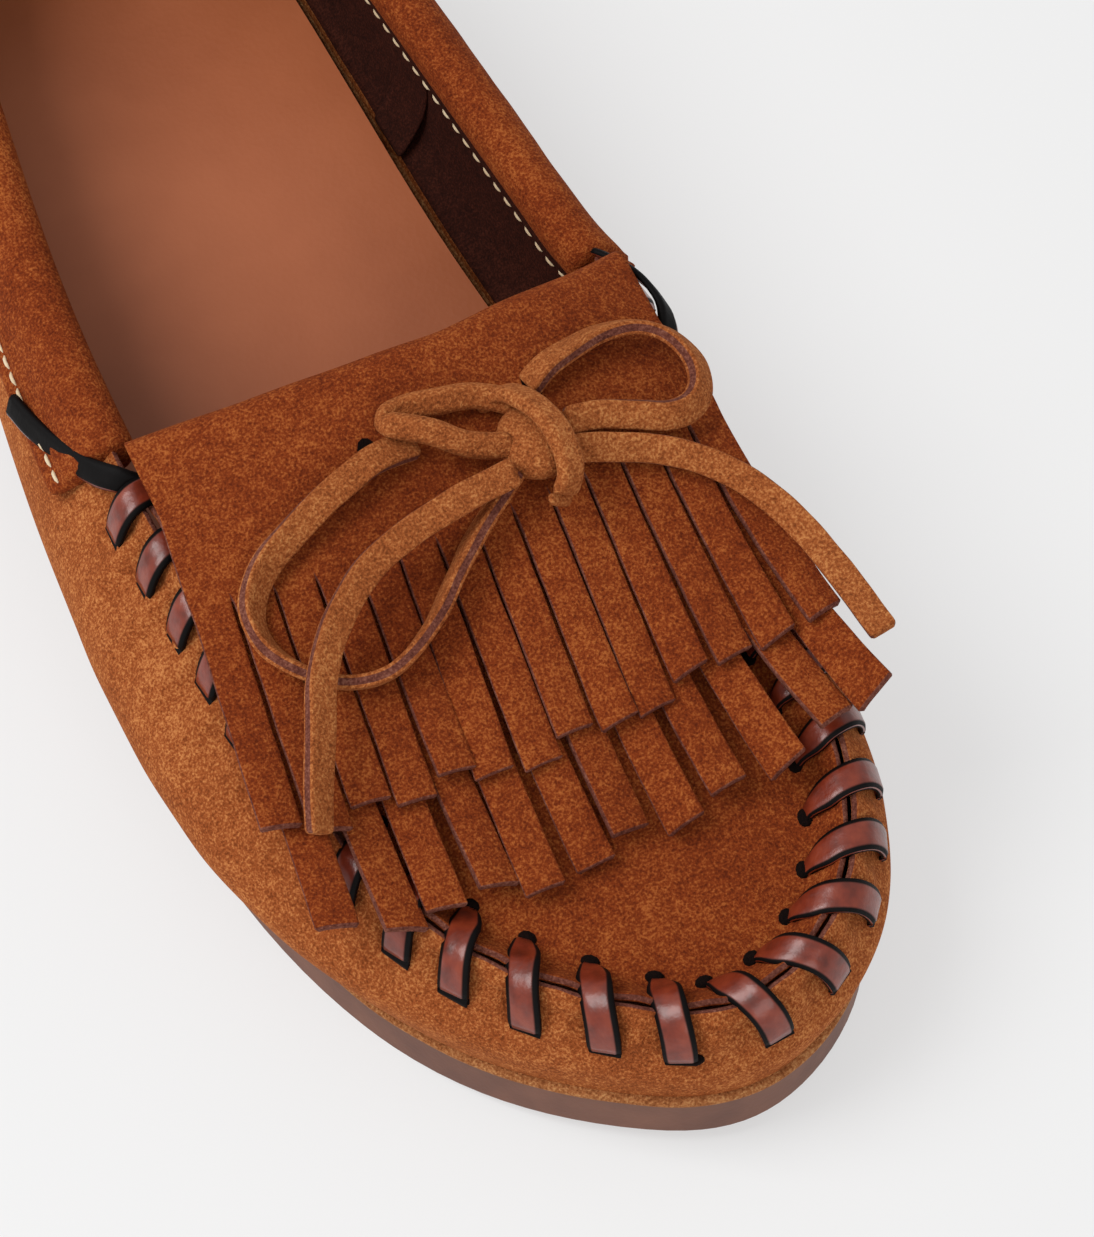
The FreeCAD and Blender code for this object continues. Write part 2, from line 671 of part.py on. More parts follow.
# ------------------------------------------------------------------------------------------------- bow
# Centre lines of the suede thong, which lies loose on the upper fringe: from each slit out round its loop
# into the knot, and from the knot to each free end.
BOW = {
    "bow_loop_left": [
        (-3, -30, 56.2), (-10, -33.5, 54.8), (-18, -36, 53.2), (-25.5, -39, 51.0), (-30, -44.5, 49.2),
        (-29.5, -51, 47.8), (-25, -57, 46.6), (-18.5, -60.8, 46.2), (-11.5, -60, 46.8), (-4.5, -55.5, 48.4),
        (1.5, -50, 50.3), (7.5, -45.8, 52.2), (14.3, -41.6, 53.8),
    ],
    "bow_loop_right": [
        (23.5, -28, 55.6), (29.5, -26.3, 55.0), (36, -24.8, 54.2), (42, -25.3, 53.2), (46.5, -29, 52.2),
        (47.8, -34.8, 51.2), (45.5, -40, 50.6), (40.5, -41.5, 50.8), (34.8, -38.8, 51.9), (29, -37, 53.2),
        (24.5, -37.2, 54.2),
    ],
    "bow_tail_left": [
        (13.5, -43.2, 56.8), (5, -44.2, 57.0), (-4, -45.2, 55.8), (-12.5, -47.5, 54.2), (-19.5, -52.5, 52.4),
        (-25, -59, 51.6), (-28.5, -66.5, 49.2), (-32, -73, 45.8), (-34.5, -78.5, 43.0),
    ],
    "bow_tail_right": [
        (23.5, -41, 53.0), (31, -42.4, 50.8), (38.5, -45.6, 48.8), (44.5, -51, 47.4), (48.5, -58, 46.2),
        (50.8, -66.5, 45.2), (52.2, -75.5, 44.4), (53, -84, 43.6),
    ],
}
BOW_KNOT = Vector(18.6, -38.6, 55.4)


def cord_path(points):
    """Straight runs joined by arcs as large as the runs allow; also returns the smallest radius."""
    points = [Vector(*p) for p in points]
    edges, radii, here = [], [], points[0]
    for before, corner, after in zip(points, points[1:], points[2:]):
        back, ahead = (before - corner), (after - corner)
        reach = 0.45 * min(back.Length, ahead.Length)
        back.normalize()
        ahead.normalize()
        half_turn = (math.pi - back.getAngle(ahead)) / 2
        radius = reach / math.tan(half_turn)
        start, end = corner + back * reach, corner + ahead * reach
        inner = (back + ahead).normalize()
        middle = corner + inner * (radius / math.cos(half_turn) - radius)
        edges += [line(here, start), Part.Arc(start, middle, end).toShape()]
        radii.append(radius)
        here = end
    edges.append(line(here, points[-1]))
    return Part.Wire(edges), min(radii)


def thong(label, points):
    """A round bar swept along a route, with its diameter from the sheet; prints its length and tightest arc."""
    wire, tightest = cord_path(points)
    route = doc.addObject("Part::Feature", label + "_route")
    route.Shape = wire
    first = wire.Edges[0]
    section = doc.addObject("Part::Circle", label + "_section")
    section.setExpression("Radius", "dims.thong_wide / 2")
    turn = FreeCAD.Rotation(Vector(0, 0, 1), first.tangentAt(first.FirstParameter))
    section.Placement = FreeCAD.Placement(first.Vertexes[0].Point, turn)
    bar = doc.addObject("Part::Sweep", label)
    bar.Label = label
    bar.Sections = [section]
    bar.Spine = (route, [f"Edge{i}" for i in range(1, len(wire.Edges) + 1)])
    bar.Solid = True
    bar.Frenet = True
    bar.Placement = TO_ORIGIN
    pieces.append(bar)
    print(f"{label}: length {wire.Length:.1f}, tightest arc {tightest:.1f}")


def build_bow():
    for name, points in BOW.items():
        thong(name, points)
    knot = doc.addObject("Part::Ellipsoid", "bow_knot")
    knot.Label = "bow_knot"
    knot.setExpression("Radius1", "dims.knot_half_z")
    knot.setExpression("Radius2", "dims.knot_half_x")
    knot.setExpression("Radius3", "dims.knot_half_y")
    knot.Placement = FreeCAD.Placement(BOW_KNOT - LAST_MIDDLE, FreeCAD.Rotation())
    pieces.append(knot)


# ------------------------------------------------------------------------------------ ends of the lace
def lace_tail(start, end, level, drop_start, drop_end):
    """The lace's loose end, lying against the outside of the collar from one station to another."""
    thick, wide = dim("lace_thick"), dim("lace_wide")
    wires = []
    for i, u in enumerate(stations(start, end, 0.1)):
        share = i / (len(stations(start, end, 0.1)) - 1)
        top, down, across = collar_axes(u)
        drop = drop_start + (drop_end - drop_start) * share
        near, far = level, level + thick
        section = ((near, 0), (far, 0), (far, wide), (near, wide))
        corners = [top + across * a + down * (drop + b) for a, b in section]
        wires.append(Part.makePolygon(corners + corners[:1]))
    return Part.makeLoft(wires, True, False)


def build_lace_tails():
    level = dim("cuff_gap") + dim("cuff_thick") + 1.2
    feature("lacing_tail_lateral", lace_tail(LATERAL_THROAT + 0.08, LATERAL_THROAT - 0.4, level, 3.0, 6.5))
    feature("lacing_tail_medial", lace_tail(MEDIAL_THROAT - 0.08, MEDIAL_THROAT + 0.24, level, 3.0, 5.5))


# -------------------------------------------------------------------------------------- build and save
def save():
    doc.recompute()
    for item in doc.Objects:
        if "Invalid" in item.State or "Error" in item.State:
            raise RuntimeError(f"{item.Label} failed: {item.State}")
    for piece in pieces:
        if piece.Shape.isNull() or not piece.Shape.isValid():
            raise RuntimeError(f"{piece.Label} has no valid shape")
    os.makedirs("parts", exist_ok=True)
    for piece in pieces:
        piece.Shape.exportStep(f"parts/{piece.Label}.step")
        print(f"{piece.Label}: {len(piece.Shape.Solids)} solid(s), {piece.Shape.Volume:.0f} mm3")


build_sole()
build_upper()
build_collar()
build_plug()
build_kiltie()
build_bow()
build_lace_tails()
save()
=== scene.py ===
"""The finish of a right-foot women's fringed suede moccasin, over its CAD parts.

The upper follows the same ring of stations as the CAD part: a profile climbs from the sole's edge over
bulge and shoulder to the top line, which is the crest of the puckered seam in front and the collar's edge
behind. Sizes are in millimetres here and become metres in the meshes.
"""

import math
import random

import bmesh
import bpy
import numpy as np
from mathutils import Matrix, Vector, noise


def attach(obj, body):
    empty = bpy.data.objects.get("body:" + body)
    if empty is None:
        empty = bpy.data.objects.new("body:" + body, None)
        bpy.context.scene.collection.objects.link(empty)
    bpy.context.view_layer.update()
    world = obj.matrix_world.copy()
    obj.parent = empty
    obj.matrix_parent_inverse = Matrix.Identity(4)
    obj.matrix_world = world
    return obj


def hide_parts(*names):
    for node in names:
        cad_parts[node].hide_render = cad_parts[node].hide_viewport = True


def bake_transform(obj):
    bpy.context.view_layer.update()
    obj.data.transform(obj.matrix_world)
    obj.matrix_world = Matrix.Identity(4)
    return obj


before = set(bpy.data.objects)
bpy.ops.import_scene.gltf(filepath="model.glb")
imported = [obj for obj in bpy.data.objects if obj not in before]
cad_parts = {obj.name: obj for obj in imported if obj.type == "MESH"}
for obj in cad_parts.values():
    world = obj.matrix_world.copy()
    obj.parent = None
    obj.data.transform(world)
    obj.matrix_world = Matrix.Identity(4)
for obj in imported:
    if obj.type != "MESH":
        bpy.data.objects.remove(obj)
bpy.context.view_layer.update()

MM = 0.001
SHOE, LOWER, UPPER = "shoe", "lower_layer", "upper_layer"
LAST_MIDDLE = np.array([1.3, 0.6, 0.0])  # middle of the shoe in the last's own coordinates

# sizes of the materials and layers
SUEDE = 1.6
LAYER_GAP = 0.3
SOLE_THICK = 8.0
HEEL_RISE = 8.0
TOE_SPRING = 4.0
RIDGE_DEPTH = 5.0
RIDGE_HALF = 2.9
LACE_WIDE = 4.8
LACE_THICK = 1.1
FLAP_THICK = 1.6
FLAP_GAP = 0.6
FLAP_CLEAR = 3.0
FLAP_ROOT = -22.0
THONG_WIDE = 4.4
THONG_THICK = 2.2
STITCHES = 27
TOE_EASE = 0.14
PORE = 0.9
SEAM_STEP = 1.45  # distance between rows of points along the puckered seam


# ------------------------------------------------------------------------------------------- the last
# x, y of the sole's edge, then how far out and how high the bulge, the shoulder and the top line are
STATIONS = np.array([
    (3, 124, 3.0, 34, 2.0, 50, -4.0, 63),
    (-17, 119, 3.0, 34, 2.0, 49, -4.0, 62),
    (-30, 96, 3.5, 32, 1.5, 46, -4.5, 57),
    (-34.5, 66, 4.0, 30, 1.0, 42, -5.0, 52),
    (-39, 28, 5.0, 27, 1.5, 38, -5.0, 47.5),
    (-43.5, -12, 5.0, 24, 0.5, 34, -9.0, 42.5),
    (-43, -48, 5.5, 20, 1.0, 29, -10.8, 38),
    (-37, -79, 4.0, 18.5, 0.0, 25, -8.0, 32.2),
    (-24, -105, 1.0, 18, -1.5, 23, -7.5, 28.5),
    (-6, -122, -0.5, 18.5, -2.5, 22.5, -7.5, 27.5),
    (14, -128, -0.5, 18.5, -2.5, 22.5, -7.0, 27.5),
    (36, -114, 2.5, 18.5, 0.0, 23, -4.5, 28),
    (45, -85, 4.5, 19, 3.0, 25, -1.5, 30.5),
    (45, -50, 5.0, 21, 3.5, 30, -1.5, 36.5),
    (42, -12, 6.0, 25, 5.0, 35, 3.5, 42.5),
    (37, 28, 7.0, 28, 6.5, 39, 5.0, 48),
    (35.5, 66, 5.0, 30, 4.5, 43, 2.0, 52.5),
    (33.5, 96, 4.0, 32, 2.0, 47, -3.0, 58),
    (21.5, 118, 3.0, 34, 2.0, 50, -4.0, 62),
], float)
COUNT = len(STATIONS)
LATERAL_SEAM, MEDIAL_SEAM = 3.5, 15.5
LATERAL_THROAT, MEDIAL_THROAT = 4.86, 14.12
UP = np.array([0.0, 0.0, 1.0])


def smooth(x, low, high):
    x = np.clip((np.asarray(x, float) - low) / (high - low), 0, 1)
    return x * x * (3 - 2 * x)


def ring(points):
    """A closed smooth curve through one point per station, as a function of the station number."""
    points = np.asarray(points, float)
    n = len(points)
    weights = np.zeros((n, n))
    for i in range(n):
        weights[i, i] = 4 / 6
        weights[i, (i - 1) % n] = weights[i, (i + 1) % n] = 1 / 6
    poles = np.linalg.solve(weights, points)

    def at(u):
        u = np.asarray(u, float) % n
        i = np.floor(u).astype(int)
        f = (u - i)[..., None]
        a, b, c, d = (poles[(i + k) % n] for k in (-1, 0, 1, 2))
        return ((1 - f) ** 3 * a + (3 * f ** 3 - 6 * f ** 2 + 4) * b
                + (-3 * f ** 3 + 3 * f ** 2 + 3 * f + 1) * c + f ** 3 * d) / 6

    return at


sole_edge = ring(np.c_[STATIONS[:, :2], np.zeros(COUNT)])


def outward(u):
    """Level direction out of the shoe at the sole's edge."""
    step = sole_edge(np.asarray(u) + 0.01) - sole_edge(np.asarray(u) - 0.01)
    step /= np.linalg.norm(step, axis=-1, keepdims=True)
    return np.stack([step[..., 1], -step[..., 0], 0 * step[..., 0]], -1)


def level_ring(out_column, high_column):
    u = np.arange(COUNT)
    points = sole_edge(u) + outward(u) * STATIONS[:, out_column:out_column + 1]
    points[:, 2] = STATIONS[:, high_column]
    return ring(points)


bulge_ring = level_ring(2, 3)
shoulder_ring = level_ring(4, 5)
top_ring = level_ring(6, 7)


def sole_low(y):
    return TOE_SPRING * smooth(-np.asarray(y, float), 88, 132) + HEEL_RISE * smooth(y, -10, 62)


def ridge_share(u):
    """1 where the top line is the puckered seam, 0 where it is the collar."""
    u = np.asarray(u, float) % COUNT
    rises = smooth(u, LATERAL_THROAT - 0.3, LATERAL_THROAT + 0.2)
    return rises * (1 - smooth(u, MEDIAL_THROAT - 0.2, MEDIAL_THROAT + 0.3))


def spline_weights(marks, t):
    """Weights of a natural cubic spline through values at marks, evaluated at t."""
    n = len(marks)
    h = np.diff(marks)
    left = np.eye(n)
    right = np.zeros((n, n))
    for i in range(1, n - 1):
        left[i, i - 1:i + 2] = [h[i - 1], 2 * (h[i - 1] + h[i]), h[i]]
        right[i, i - 1:i + 2] = [6 / h[i - 1], -6 / h[i - 1] - 6 / h[i], 6 / h[i]]
    bend = np.linalg.solve(left, right)
    rows = []
    for value in np.atleast_1d(t):
        i = min(max(np.searchsorted(marks, value) - 1, 0), n - 2)
        a, b = (marks[i + 1] - value) / h[i], (value - marks[i]) / h[i]
        row = a * np.eye(n)[i] + b * np.eye(n)[i + 1]
        row = row + ((a ** 3 - a) * bend[i] + (b ** 3 - b) * bend[i + 1]) * h[i] ** 2 / 6
        rows.append(row)
    return np.array(rows)


PROFILE_MARKS = np.array([0.0, 0.35, 0.62, 0.85, 1.0])


def upper_surface(u, t):
    """The outside of the suede: one row of points per station number u, one column per height t."""
    u = np.asarray(u, float)
    edge, out = sole_edge(u), outward(u)
    feather = edge - out * 1.0
    feather[:, 2] = sole_low(edge[:, 1]) + SOLE_THICK + LAYER_GAP
    shoulder, top = shoulder_ring(u), top_ring(u)
    share = ridge_share(u)[:, None]
    on_ridge = top + out * RIDGE_HALF - UP * 0.42 * RIDGE_DEPTH
    on_collar = (shoulder + top) / 2 + out * 0.6
    knots = np.stack([feather, bulge_ring(u), shoulder, on_ridge * share + on_collar * (1 - share), top], 1)
    return np.einsum("tk,ukc->utc", spline_weights(PROFILE_MARKS, t), knots)


def grid_normals(points, outward_rows):
    """Unit normals of a grid of points, turned to the side that outward_rows gives for each row."""
    across = np.gradient(points, axis=0)
    along = np.gradient(points, axis=1)
    normals = np.cross(across, along)
    normals /= np.linalg.norm(normals, axis=-1, keepdims=True) + 1e-12
    side = np.sign((normals[:, :-1] * outward_rows[:, None]).sum(-1).mean(1))
    return normals * side[:, None, None]


def walked(points):
    """Distance along a line of points."""
    return np.r_[0, np.cumsum(np.linalg.norm(np.diff(points, axis=0), axis=1))]


def between(way, values, mark):
    """The row of values at a distance along the line that way measures."""
    return np.stack([np.interp(mark, way, values[:, k]) for k in range(3)], -1)


def stitch_stations(start, end, count):
    """Station numbers of the whip stitches, a little wider apart round the toe."""
    u = np.linspace(start, end, 800)
    at_toe = smooth(u, 6.8, 8.4) * (1 - smooth(u, 10.4, 11.6))
    steps = np.diff(walked(top_ring(u))) * (1 - TOE_EASE * at_toe[:-1])
    way = np.r_[0, np.cumsum(steps)]
    return np.interp(np.linspace(0, way[-1], count), way, u)


STITCH_STATIONS = stitch_stations(LATERAL_THROAT + 0.2, MEDIAL_THROAT - 0.2, STITCHES)

# height of the seam's crest and of the plug's crown along the shoe
CREST = np.array([(-128, 27.5), (-100, 29.0), (-80, 31.5), (-60, 35.0), (-40, 38.5), (-20, 41.5), (10, 45.0)])
CROWN = np.array([(-118, 0.0), (-100, 1.0), (-80, 4.5), (-60, 8.5), (-40, 12.0), (-20, 15.0), (0, 17.0)])
CREST_MIDDLE, CREST_HALF = 4.0, 40.0


def soft_table(y, rows):
    """A short table read as a smooth line rather than a broken one."""
    y = np.asarray(y, float)
    spread = [np.interp(y + d, rows[:, 0], rows[:, 1]) for d in (-9, -4.5, 0, 4.5, 9)]
    return sum(spread) / len(spread)


def plug_height(x, y):
    s = np.abs(x - CREST_MIDDLE) / CREST_HALF
    return soft_table(y, CREST) - 0.85 * RIDGE_DEPTH + soft_table(y, CROWN) * (1 - s ** 3)


def flap_height(x, y, lift):
    """Underside of a fringe layer: on the plug in the middle, over the crest of the seam at the sides."""
    s = (x - CREST_MIDDLE) / (CREST_HALF + 1)
    side = soft_table(y, CREST) + LACE_THICK + FLAP_CLEAR
    middle = plug_height(CREST_MIDDLE, y) + FLAP_GAP
    return side + (middle - side) * (1 - s * s) + lift


def throat_y(x):
    s = (x - 5) / 40
    return -14 + 6 * s * s


# -------------------------------------------------------------------------------------- making pieces
def place(points):
    """From the last's millimetres to the shoe's metres."""
    return (np.asarray(points, float) - LAST_MIDDLE) * MM


def piece(name, points, faces, material, body=SHOE, replaces=(), uv=None):
    """A new mesh object from points in the last's millimetres."""
    mesh = bpy.data.meshes.new(name)
    mesh.from_pydata([tuple(p) for p in place(points)], [], faces)
    mesh.materials.append(material)
    if uv is not None:
        layer = mesh.uv_layers.new(name="UVMap")
        index = np.zeros(len(mesh.loops), int)
        mesh.loops.foreach_get("vertex_index", index)
        layer.data.foreach_set("uv", np.asarray(uv, float)[index].ravel())
    mesh.polygons.foreach_set("use_smooth", [True] * len(mesh.polygons))
    mesh.update()
    obj = bpy.data.objects.new(name, mesh)
    bpy.context.collection.objects.link(obj)
    if body:
        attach(obj, body)
    if replaces:
        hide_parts(*replaces)
    return obj


def grid_faces(rows, columns, wrap=False, offset=0):
    """Quads of a grid whose points are stored row by row; wrap joins the last column to the first."""
    faces = []
    for i in range(rows - 1):
        for j in range(columns if wrap else columns - 1):
            k = (j + 1) % columns
            faces.append((offset + i * columns + j, offset + i * columns + k,
                          offset + (i + 1) * columns + k, offset + (i + 1) * columns + j))
    return faces


def tube_faces(rows, columns, offset=0):
    """Faces of a bar whose sections are stored one after the other, with both ends closed."""
    last = offset + (rows - 1) * columns
    ends = [tuple(reversed(range(offset, offset + columns))), tuple(range(last, last + columns))]
    return grid_faces(rows, columns, wrap=True, offset=offset) + ends


def face_out(obj, closed=True, weld=False):
    """Turn all faces of a closed piece outwards, or those of an open sheet upwards; weld joins points."""
    work = bmesh.new()
    work.from_mesh(obj.data)
    if weld:
        bmesh.ops.remove_doubles(work, verts=work.verts, dist=2e-5)
    bmesh.ops.recalc_face_normals(work, faces=work.faces)
    if not closed and sum(face.normal.z * face.calc_area() for face in work.faces) < 0:
        bmesh.ops.reverse_faces(work, faces=work.faces)
    work.to_mesh(obj.data)
    work.free()
    return obj


def modifier(obj, kind, **settings):
    item = obj.modifiers.new(kind.title(), kind)
    for key, value in settings.items():
        setattr(item, key, value)
    return item


def subdivide(obj):
    modifier(obj, "SUBSURF", levels=1, render_levels=1)


def apply_stack(obj):
    """Replace the object's mesh by what its modifiers make of it."""
    bpy.context.view_layer.update()
    depsgraph = bpy.context.evaluated_depsgraph_get()
    mesh = bpy.data.meshes.new_from_object(obj.evaluated_get(depsgraph), depsgraph=depsgraph)
    obj.modifiers.clear()
    obj.data = mesh
    return obj


def wobble(points, size, amount, seed=0.0):
    """Smooth random offsets, one number per point, for patches about size millimetres wide."""
    flat = np.asarray(points, float).reshape(-1, 3)
    shift = Vector((seed * 17.3, seed * 5.1, seed * 9.7))
    values = [noise.noise(Vector(p) / size + shift) for p in flat]
    return np.array(values).reshape(np.asarray(points).shape[:-1]) * amount


def grid_nudge(points, amount, size, seed):
    """Small uneven offsets for a hand-cut edge."""
    return np.stack([wobble(points, size, amount, seed + k) for k in range(3)], -1)


# ------------------------------------------------------------------------------------------ materials
def linear(hex_colour):
    """sRGB hex to linear RGBA."""
    values = [int(hex_colour[i:i + 2], 16) / 255 for i in (0, 2, 4)]
    return [v / 12.92 if v <= 0.04045 else ((v + 0.055) / 1.055) ** 2.4 for v in values] + [1.0]


def node(tree, kind, settings=None, inputs=None):
    """Add a node; inputs are values, or the sockets that feed them."""
    item = tree.nodes.new(kind)
    for key, value in (settings or {}).items():
        setattr(item, key, value)
    for key, value in (inputs or {}).items():
        if isinstance(value, bpy.types.NodeSocket):
            tree.links.new(value, item.inputs[key])
        else:
            item.inputs[key].default_value = value
    return item


def ramp(tree, factor, stops):
    """A colour ramp node from (position, hex) stops."""
    item = node(tree, "ShaderNodeValToRGB", inputs={"Fac": factor})
    elements = item.color_ramp.elements
    while len(elements) < len(stops):
        elements.new(0.5)
    for element, (position, colour) in zip(elements, stops):
        element.position = position
        element.color = linear(colour)
    return item.outputs["Color"]


def new_material(name):
    material = bpy.data.materials.new(name)
    material.use_nodes = True
    tree = material.node_tree
    tree.nodes.clear()
    shader = node(tree, "ShaderNodeBsdfPrincipled")
    output = node(tree, "ShaderNodeOutputMaterial")
    tree.links.new(shader.outputs["BSDF"], output.inputs["Surface"])
    return material, tree, shader


def per_metre(size_mm):
    """Noise scale for features of that size."""
    return 1000.0 / size_mm


def cloud_of(tree, size_mm, detail, roughness=0.5):
    """Soft noise with features of that size, fixed to the piece."""
    place_on = node(tree, "ShaderNodeTexCoord").outputs["Object"]
    settings = {"Vector": place_on, "Scale": per_metre(size_mm), "Detail": detail, "Roughness": roughness}
    return node(tree, "ShaderNodeTexNoise", inputs=settings).outputs["Fac"]


def times_plus(tree, factor, by, plus):
    return node(tree, "ShaderNodeMath", {"operation": "MULTIPLY_ADD"}, {0: factor, 1: by, 2: plus}).outputs[0]


def raise_by(tree, shader, height, strength, distance):
    """Let a height pattern show as relief; distance is in metres."""
    bump = node(tree, "ShaderNodeBump", inputs={"Height": height, "Strength": strength, "Distance": distance})
    tree.links.new(bump.outputs["Normal"], shader.inputs["Normal"])


def suede(name, dark, middle, light, sheen=0.35):
    """Split leather with a short raised nap: no gloss, a soft sheen at grazing angles, and a salt-and-pepper
    of lit fibre tips over darker roots. Broad patches show where the nap was brushed one way or the other."""
    material, tree, shader = new_material(name)
    fibre, clump, patch = cloud_of(tree, 0.42, 2.0, 0.65), cloud_of(tree, 1.9, 2.0), cloud_of(tree, 22.0, 3.0)
    grain = times_plus(tree, fibre, 0.62, 0.0)
    grain = times_plus(tree, clump, 0.2, grain)
    grain = times_plus(tree, patch, 0.18, grain)
    colour = ramp(tree, grain, [(0.36, dark), (0.5, middle), (0.64, light)])
    tree.links.new(colour, shader.inputs["Base Color"])
    raise_by(tree, shader, times_plus(tree, clump, 0.5, fibre), 0.55, 0.0006)
    shader.inputs["Roughness"].default_value = 0.95
    shader.inputs["Specular IOR Level"].default_value = 0.12
    shader.inputs["Sheen Weight"].default_value = sheen
    shader.inputs["Sheen Roughness"].default_value = 0.45
    shader.inputs["Sheen Tint"].default_value = linear(light)
    return material


def smooth_leather(name, dark, light, roughness):
    """Vegetable-tanned leather with its grain side out: fine pores, soft satin gloss."""
    material, tree, shader = new_material(name)
    place_on = node(tree, "ShaderNodeTexCoord").outputs["Object"]
    pores = node(tree, "ShaderNodeTexVoronoi", inputs={"Vector": place_on, "Scale": per_metre(PORE)})
    colour = ramp(tree, cloud_of(tree, 30.0, 4.0), [(0.3, dark), (0.7, light)])
    tree.links.new(colour, shader.inputs["Base Color"])
    raise_by(tree, shader, pores.outputs["Distance"], 0.12, 0.0002)
    shader.inputs["Roughness"].default_value = roughness
    return material


def moulded_rubber(name, dark, light):
    """Crepe-like moulded rubber: matt, slightly cloudy, with a fine mould texture."""
    material, tree, shader = new_material(name)
    colour = ramp(tree, cloud_of(tree, 9.0, 5.0), [(0.3, dark), (0.7, light)])
    tree.links.new(colour, shader.inputs["Base Color"])
    raise_by(tree, shader, cloud_of(tree, 0.7, 2.0), 0.2, 0.0003)
    shader.inputs["Roughness"].default_value = 0.62
    return material


def burnished_lace(name):
    """Flat calf lace: the grain face burnished to a gloss, its cut edges and back dyed black.
    V of the UV map runs round the section: below 0.5 is the face, above is edge and back."""
    material, tree, shader = new_material(name)
    coords = node(tree, "ShaderNodeTexCoord")
    uv = node(tree, "ShaderNodeSeparateXYZ", inputs={0: coords.outputs["UV"]})
    face = ramp(tree, cloud_of(tree, 3.0, 4.0), [(0.25, "521b0e"), (0.5, "782b17"), (0.75, "8e3b22")])
    # distance from the middle of the face, so that the black comes a little way onto the face at both edges
    middle = node(tree, "ShaderNodeMath", {"operation": "SUBTRACT"}, {0: uv.outputs["Y"], 1: 0.25})
    middle = node(tree, "ShaderNodeMath", {"operation": "ABSOLUTE"}, {0: middle.outputs[0]})
    edge = node(tree, "ShaderNodeMapRange", {"interpolation_type": "SMOOTHSTEP"},
                {"Value": middle.outputs[0], "From Min": 0.165, "From Max": 0.2}).outputs[0]
    mix = node(tree, "ShaderNodeMix", {"data_type": "RGBA"}, {0: edge, 6: face, 7: linear("0b0808")})
    tree.links.new(mix.outputs[2], shader.inputs["Base Color"])
    for socket, on_face, on_edge in (("Roughness", 0.33, 0.62), ("Specular IOR Level", 0.5, 0.12),
                                     ("Coat Weight", 0.3, 0.0)):
        level = node(tree, "ShaderNodeMapRange", inputs={"Value": edge, "To Min": on_face, "To Max": on_edge})
        tree.links.new(level.outputs[0], shader.inputs[socket])
    raise_by(tree, shader, cloud_of(tree, 0.8, 3.0), 0.25, 0.0003)
    shader.inputs["Coat Roughness"].default_value = 0.22
    return material


def plain_stage(name, colour, glow):
    """Matt studio paper with an even glow of its own."""
    material, _, shader = new_material(name)
    shader.inputs["Base Color"].default_value = linear(colour)
    shader.inputs["Emission Color"].default_value = (1.0, 1.0, 1.0, 1.0)
    shader.inputs["Emission Strength"].default_value = glow
    shader.inputs["Roughness"].default_value = 0.9
    shader.inputs["Specular IOR Level"].default_value = 0.1
    return material


# suede of plug, collar and kiltie, of vamp and quarters, of the edge over the sole, and of the bow's thong
SUEDE_UPPER = suede("brown_suede", "5c220c", "823714", "ad602d", sheen=0.22)
SUEDE_VAMP = suede("brown_suede_brushed", "6f3414", "9a4f25", "c98149", sheen=0.35)
SUEDE_STRIP = suede("pale_suede_edge", "744020", "a0643a", "c58f5c", sheen=0.35)
SUEDE_THONG = suede("thong_suede", "703819", "9d552a", "c6824b", sheen=0.35)
# raw cut edges, and the dark lining
CUT_EDGE = suede("cut_suede_edge", "50281f", "6d3c30", "8d5a49", sheen=0.2)
LINING_SUEDE = suede("dark_lining", "220c07", "32140c", "472116", sheen=0.1)
# smooth tan sock, brown sole, glossy seam lace and cream topstitching
SOCK_LEATHER = smooth_leather("sock_leather", "a0552f", "b0623b", 0.5)
RUBBER = moulded_rubber("brown_rubber", "643c2d", "7a4d39")
LACE = burnished_lace("burnished_lace")
THREAD = smooth_leather("cream_thread", "cdb28c", "ead9b8", 0.7)
# painted shade: near-black material standing in for the shade inside the punched holes and slits
HOLE_SHADE = suede("hole_shadow", "080302", "100604", "1a0a06", sheen=0.0)
# hidden stiffener and insole board, and the foam between board and sock
BOARD = moulded_rubber("fibre_board", "8f7a60", "a89274")
FOAM = moulded_rubber("latex_foam", "cfc29f", "dfd5b8")


# ------------------------------------------------------------------------------------- upper and seam
def pucker(u):
    """1 half way between two stitches, 0 under a stitch and beyond the seam."""
    phase = np.interp(u, STITCH_STATIONS, np.arange(STITCHES))
    return 0.5 - 0.5 * np.cos(2 * np.pi * phase)


def creases(u):
    """Finer gathers, two or three to a stitch, uneven."""
    phase = np.interp(u, STITCH_STATIONS, np.arange(STITCHES))
    return np.sin(2 * np.pi * 2.0 * phase + 1.3 * np.sin(1.7 * phase)) * pucker(u)


def even_rows(start, end, step):
    """Station numbers about step millimetres apart along the top line."""
    u = np.linspace(start, end, 1500)
    way = walked(top_ring(u))
    return np.interp(np.linspace(0, way[-1], int(way[-1] / step) + 1), way, u)


def wall(u, heights):
    """The outside of the upper, with soft hollows where the leather has moulded itself to a foot."""
    points = upper_surface(u, heights)
    normals = grid_normals(points, outward(u))
    hollows = np.maximum(wobble(points, 34.0, 1.1, 3.0) + wobble(points, 13.0, 0.35, 5.0), -0.3)
    fade = smooth(heights, 0.02, 0.25)[None, :] * (1 - smooth(heights, 0.85, 1.0))[None, :]
    return points + normals * (hollows * fade)[..., None], normals


def crest_spots(u, spots):
    """Points beside the seam's crest: each spot is (outward, upward), numbers or one value per station."""
    crest, out = top_ring(u), outward(u)
    columns = []
    for out_by, up_by in spots:
        out_by, up_by = np.broadcast_to(out_by, u.shape), np.broadcast_to(up_by, u.shape)
        columns.append(crest + out * out_by[:, None] + UP * up_by[:, None])
    return np.stack(columns, 1)


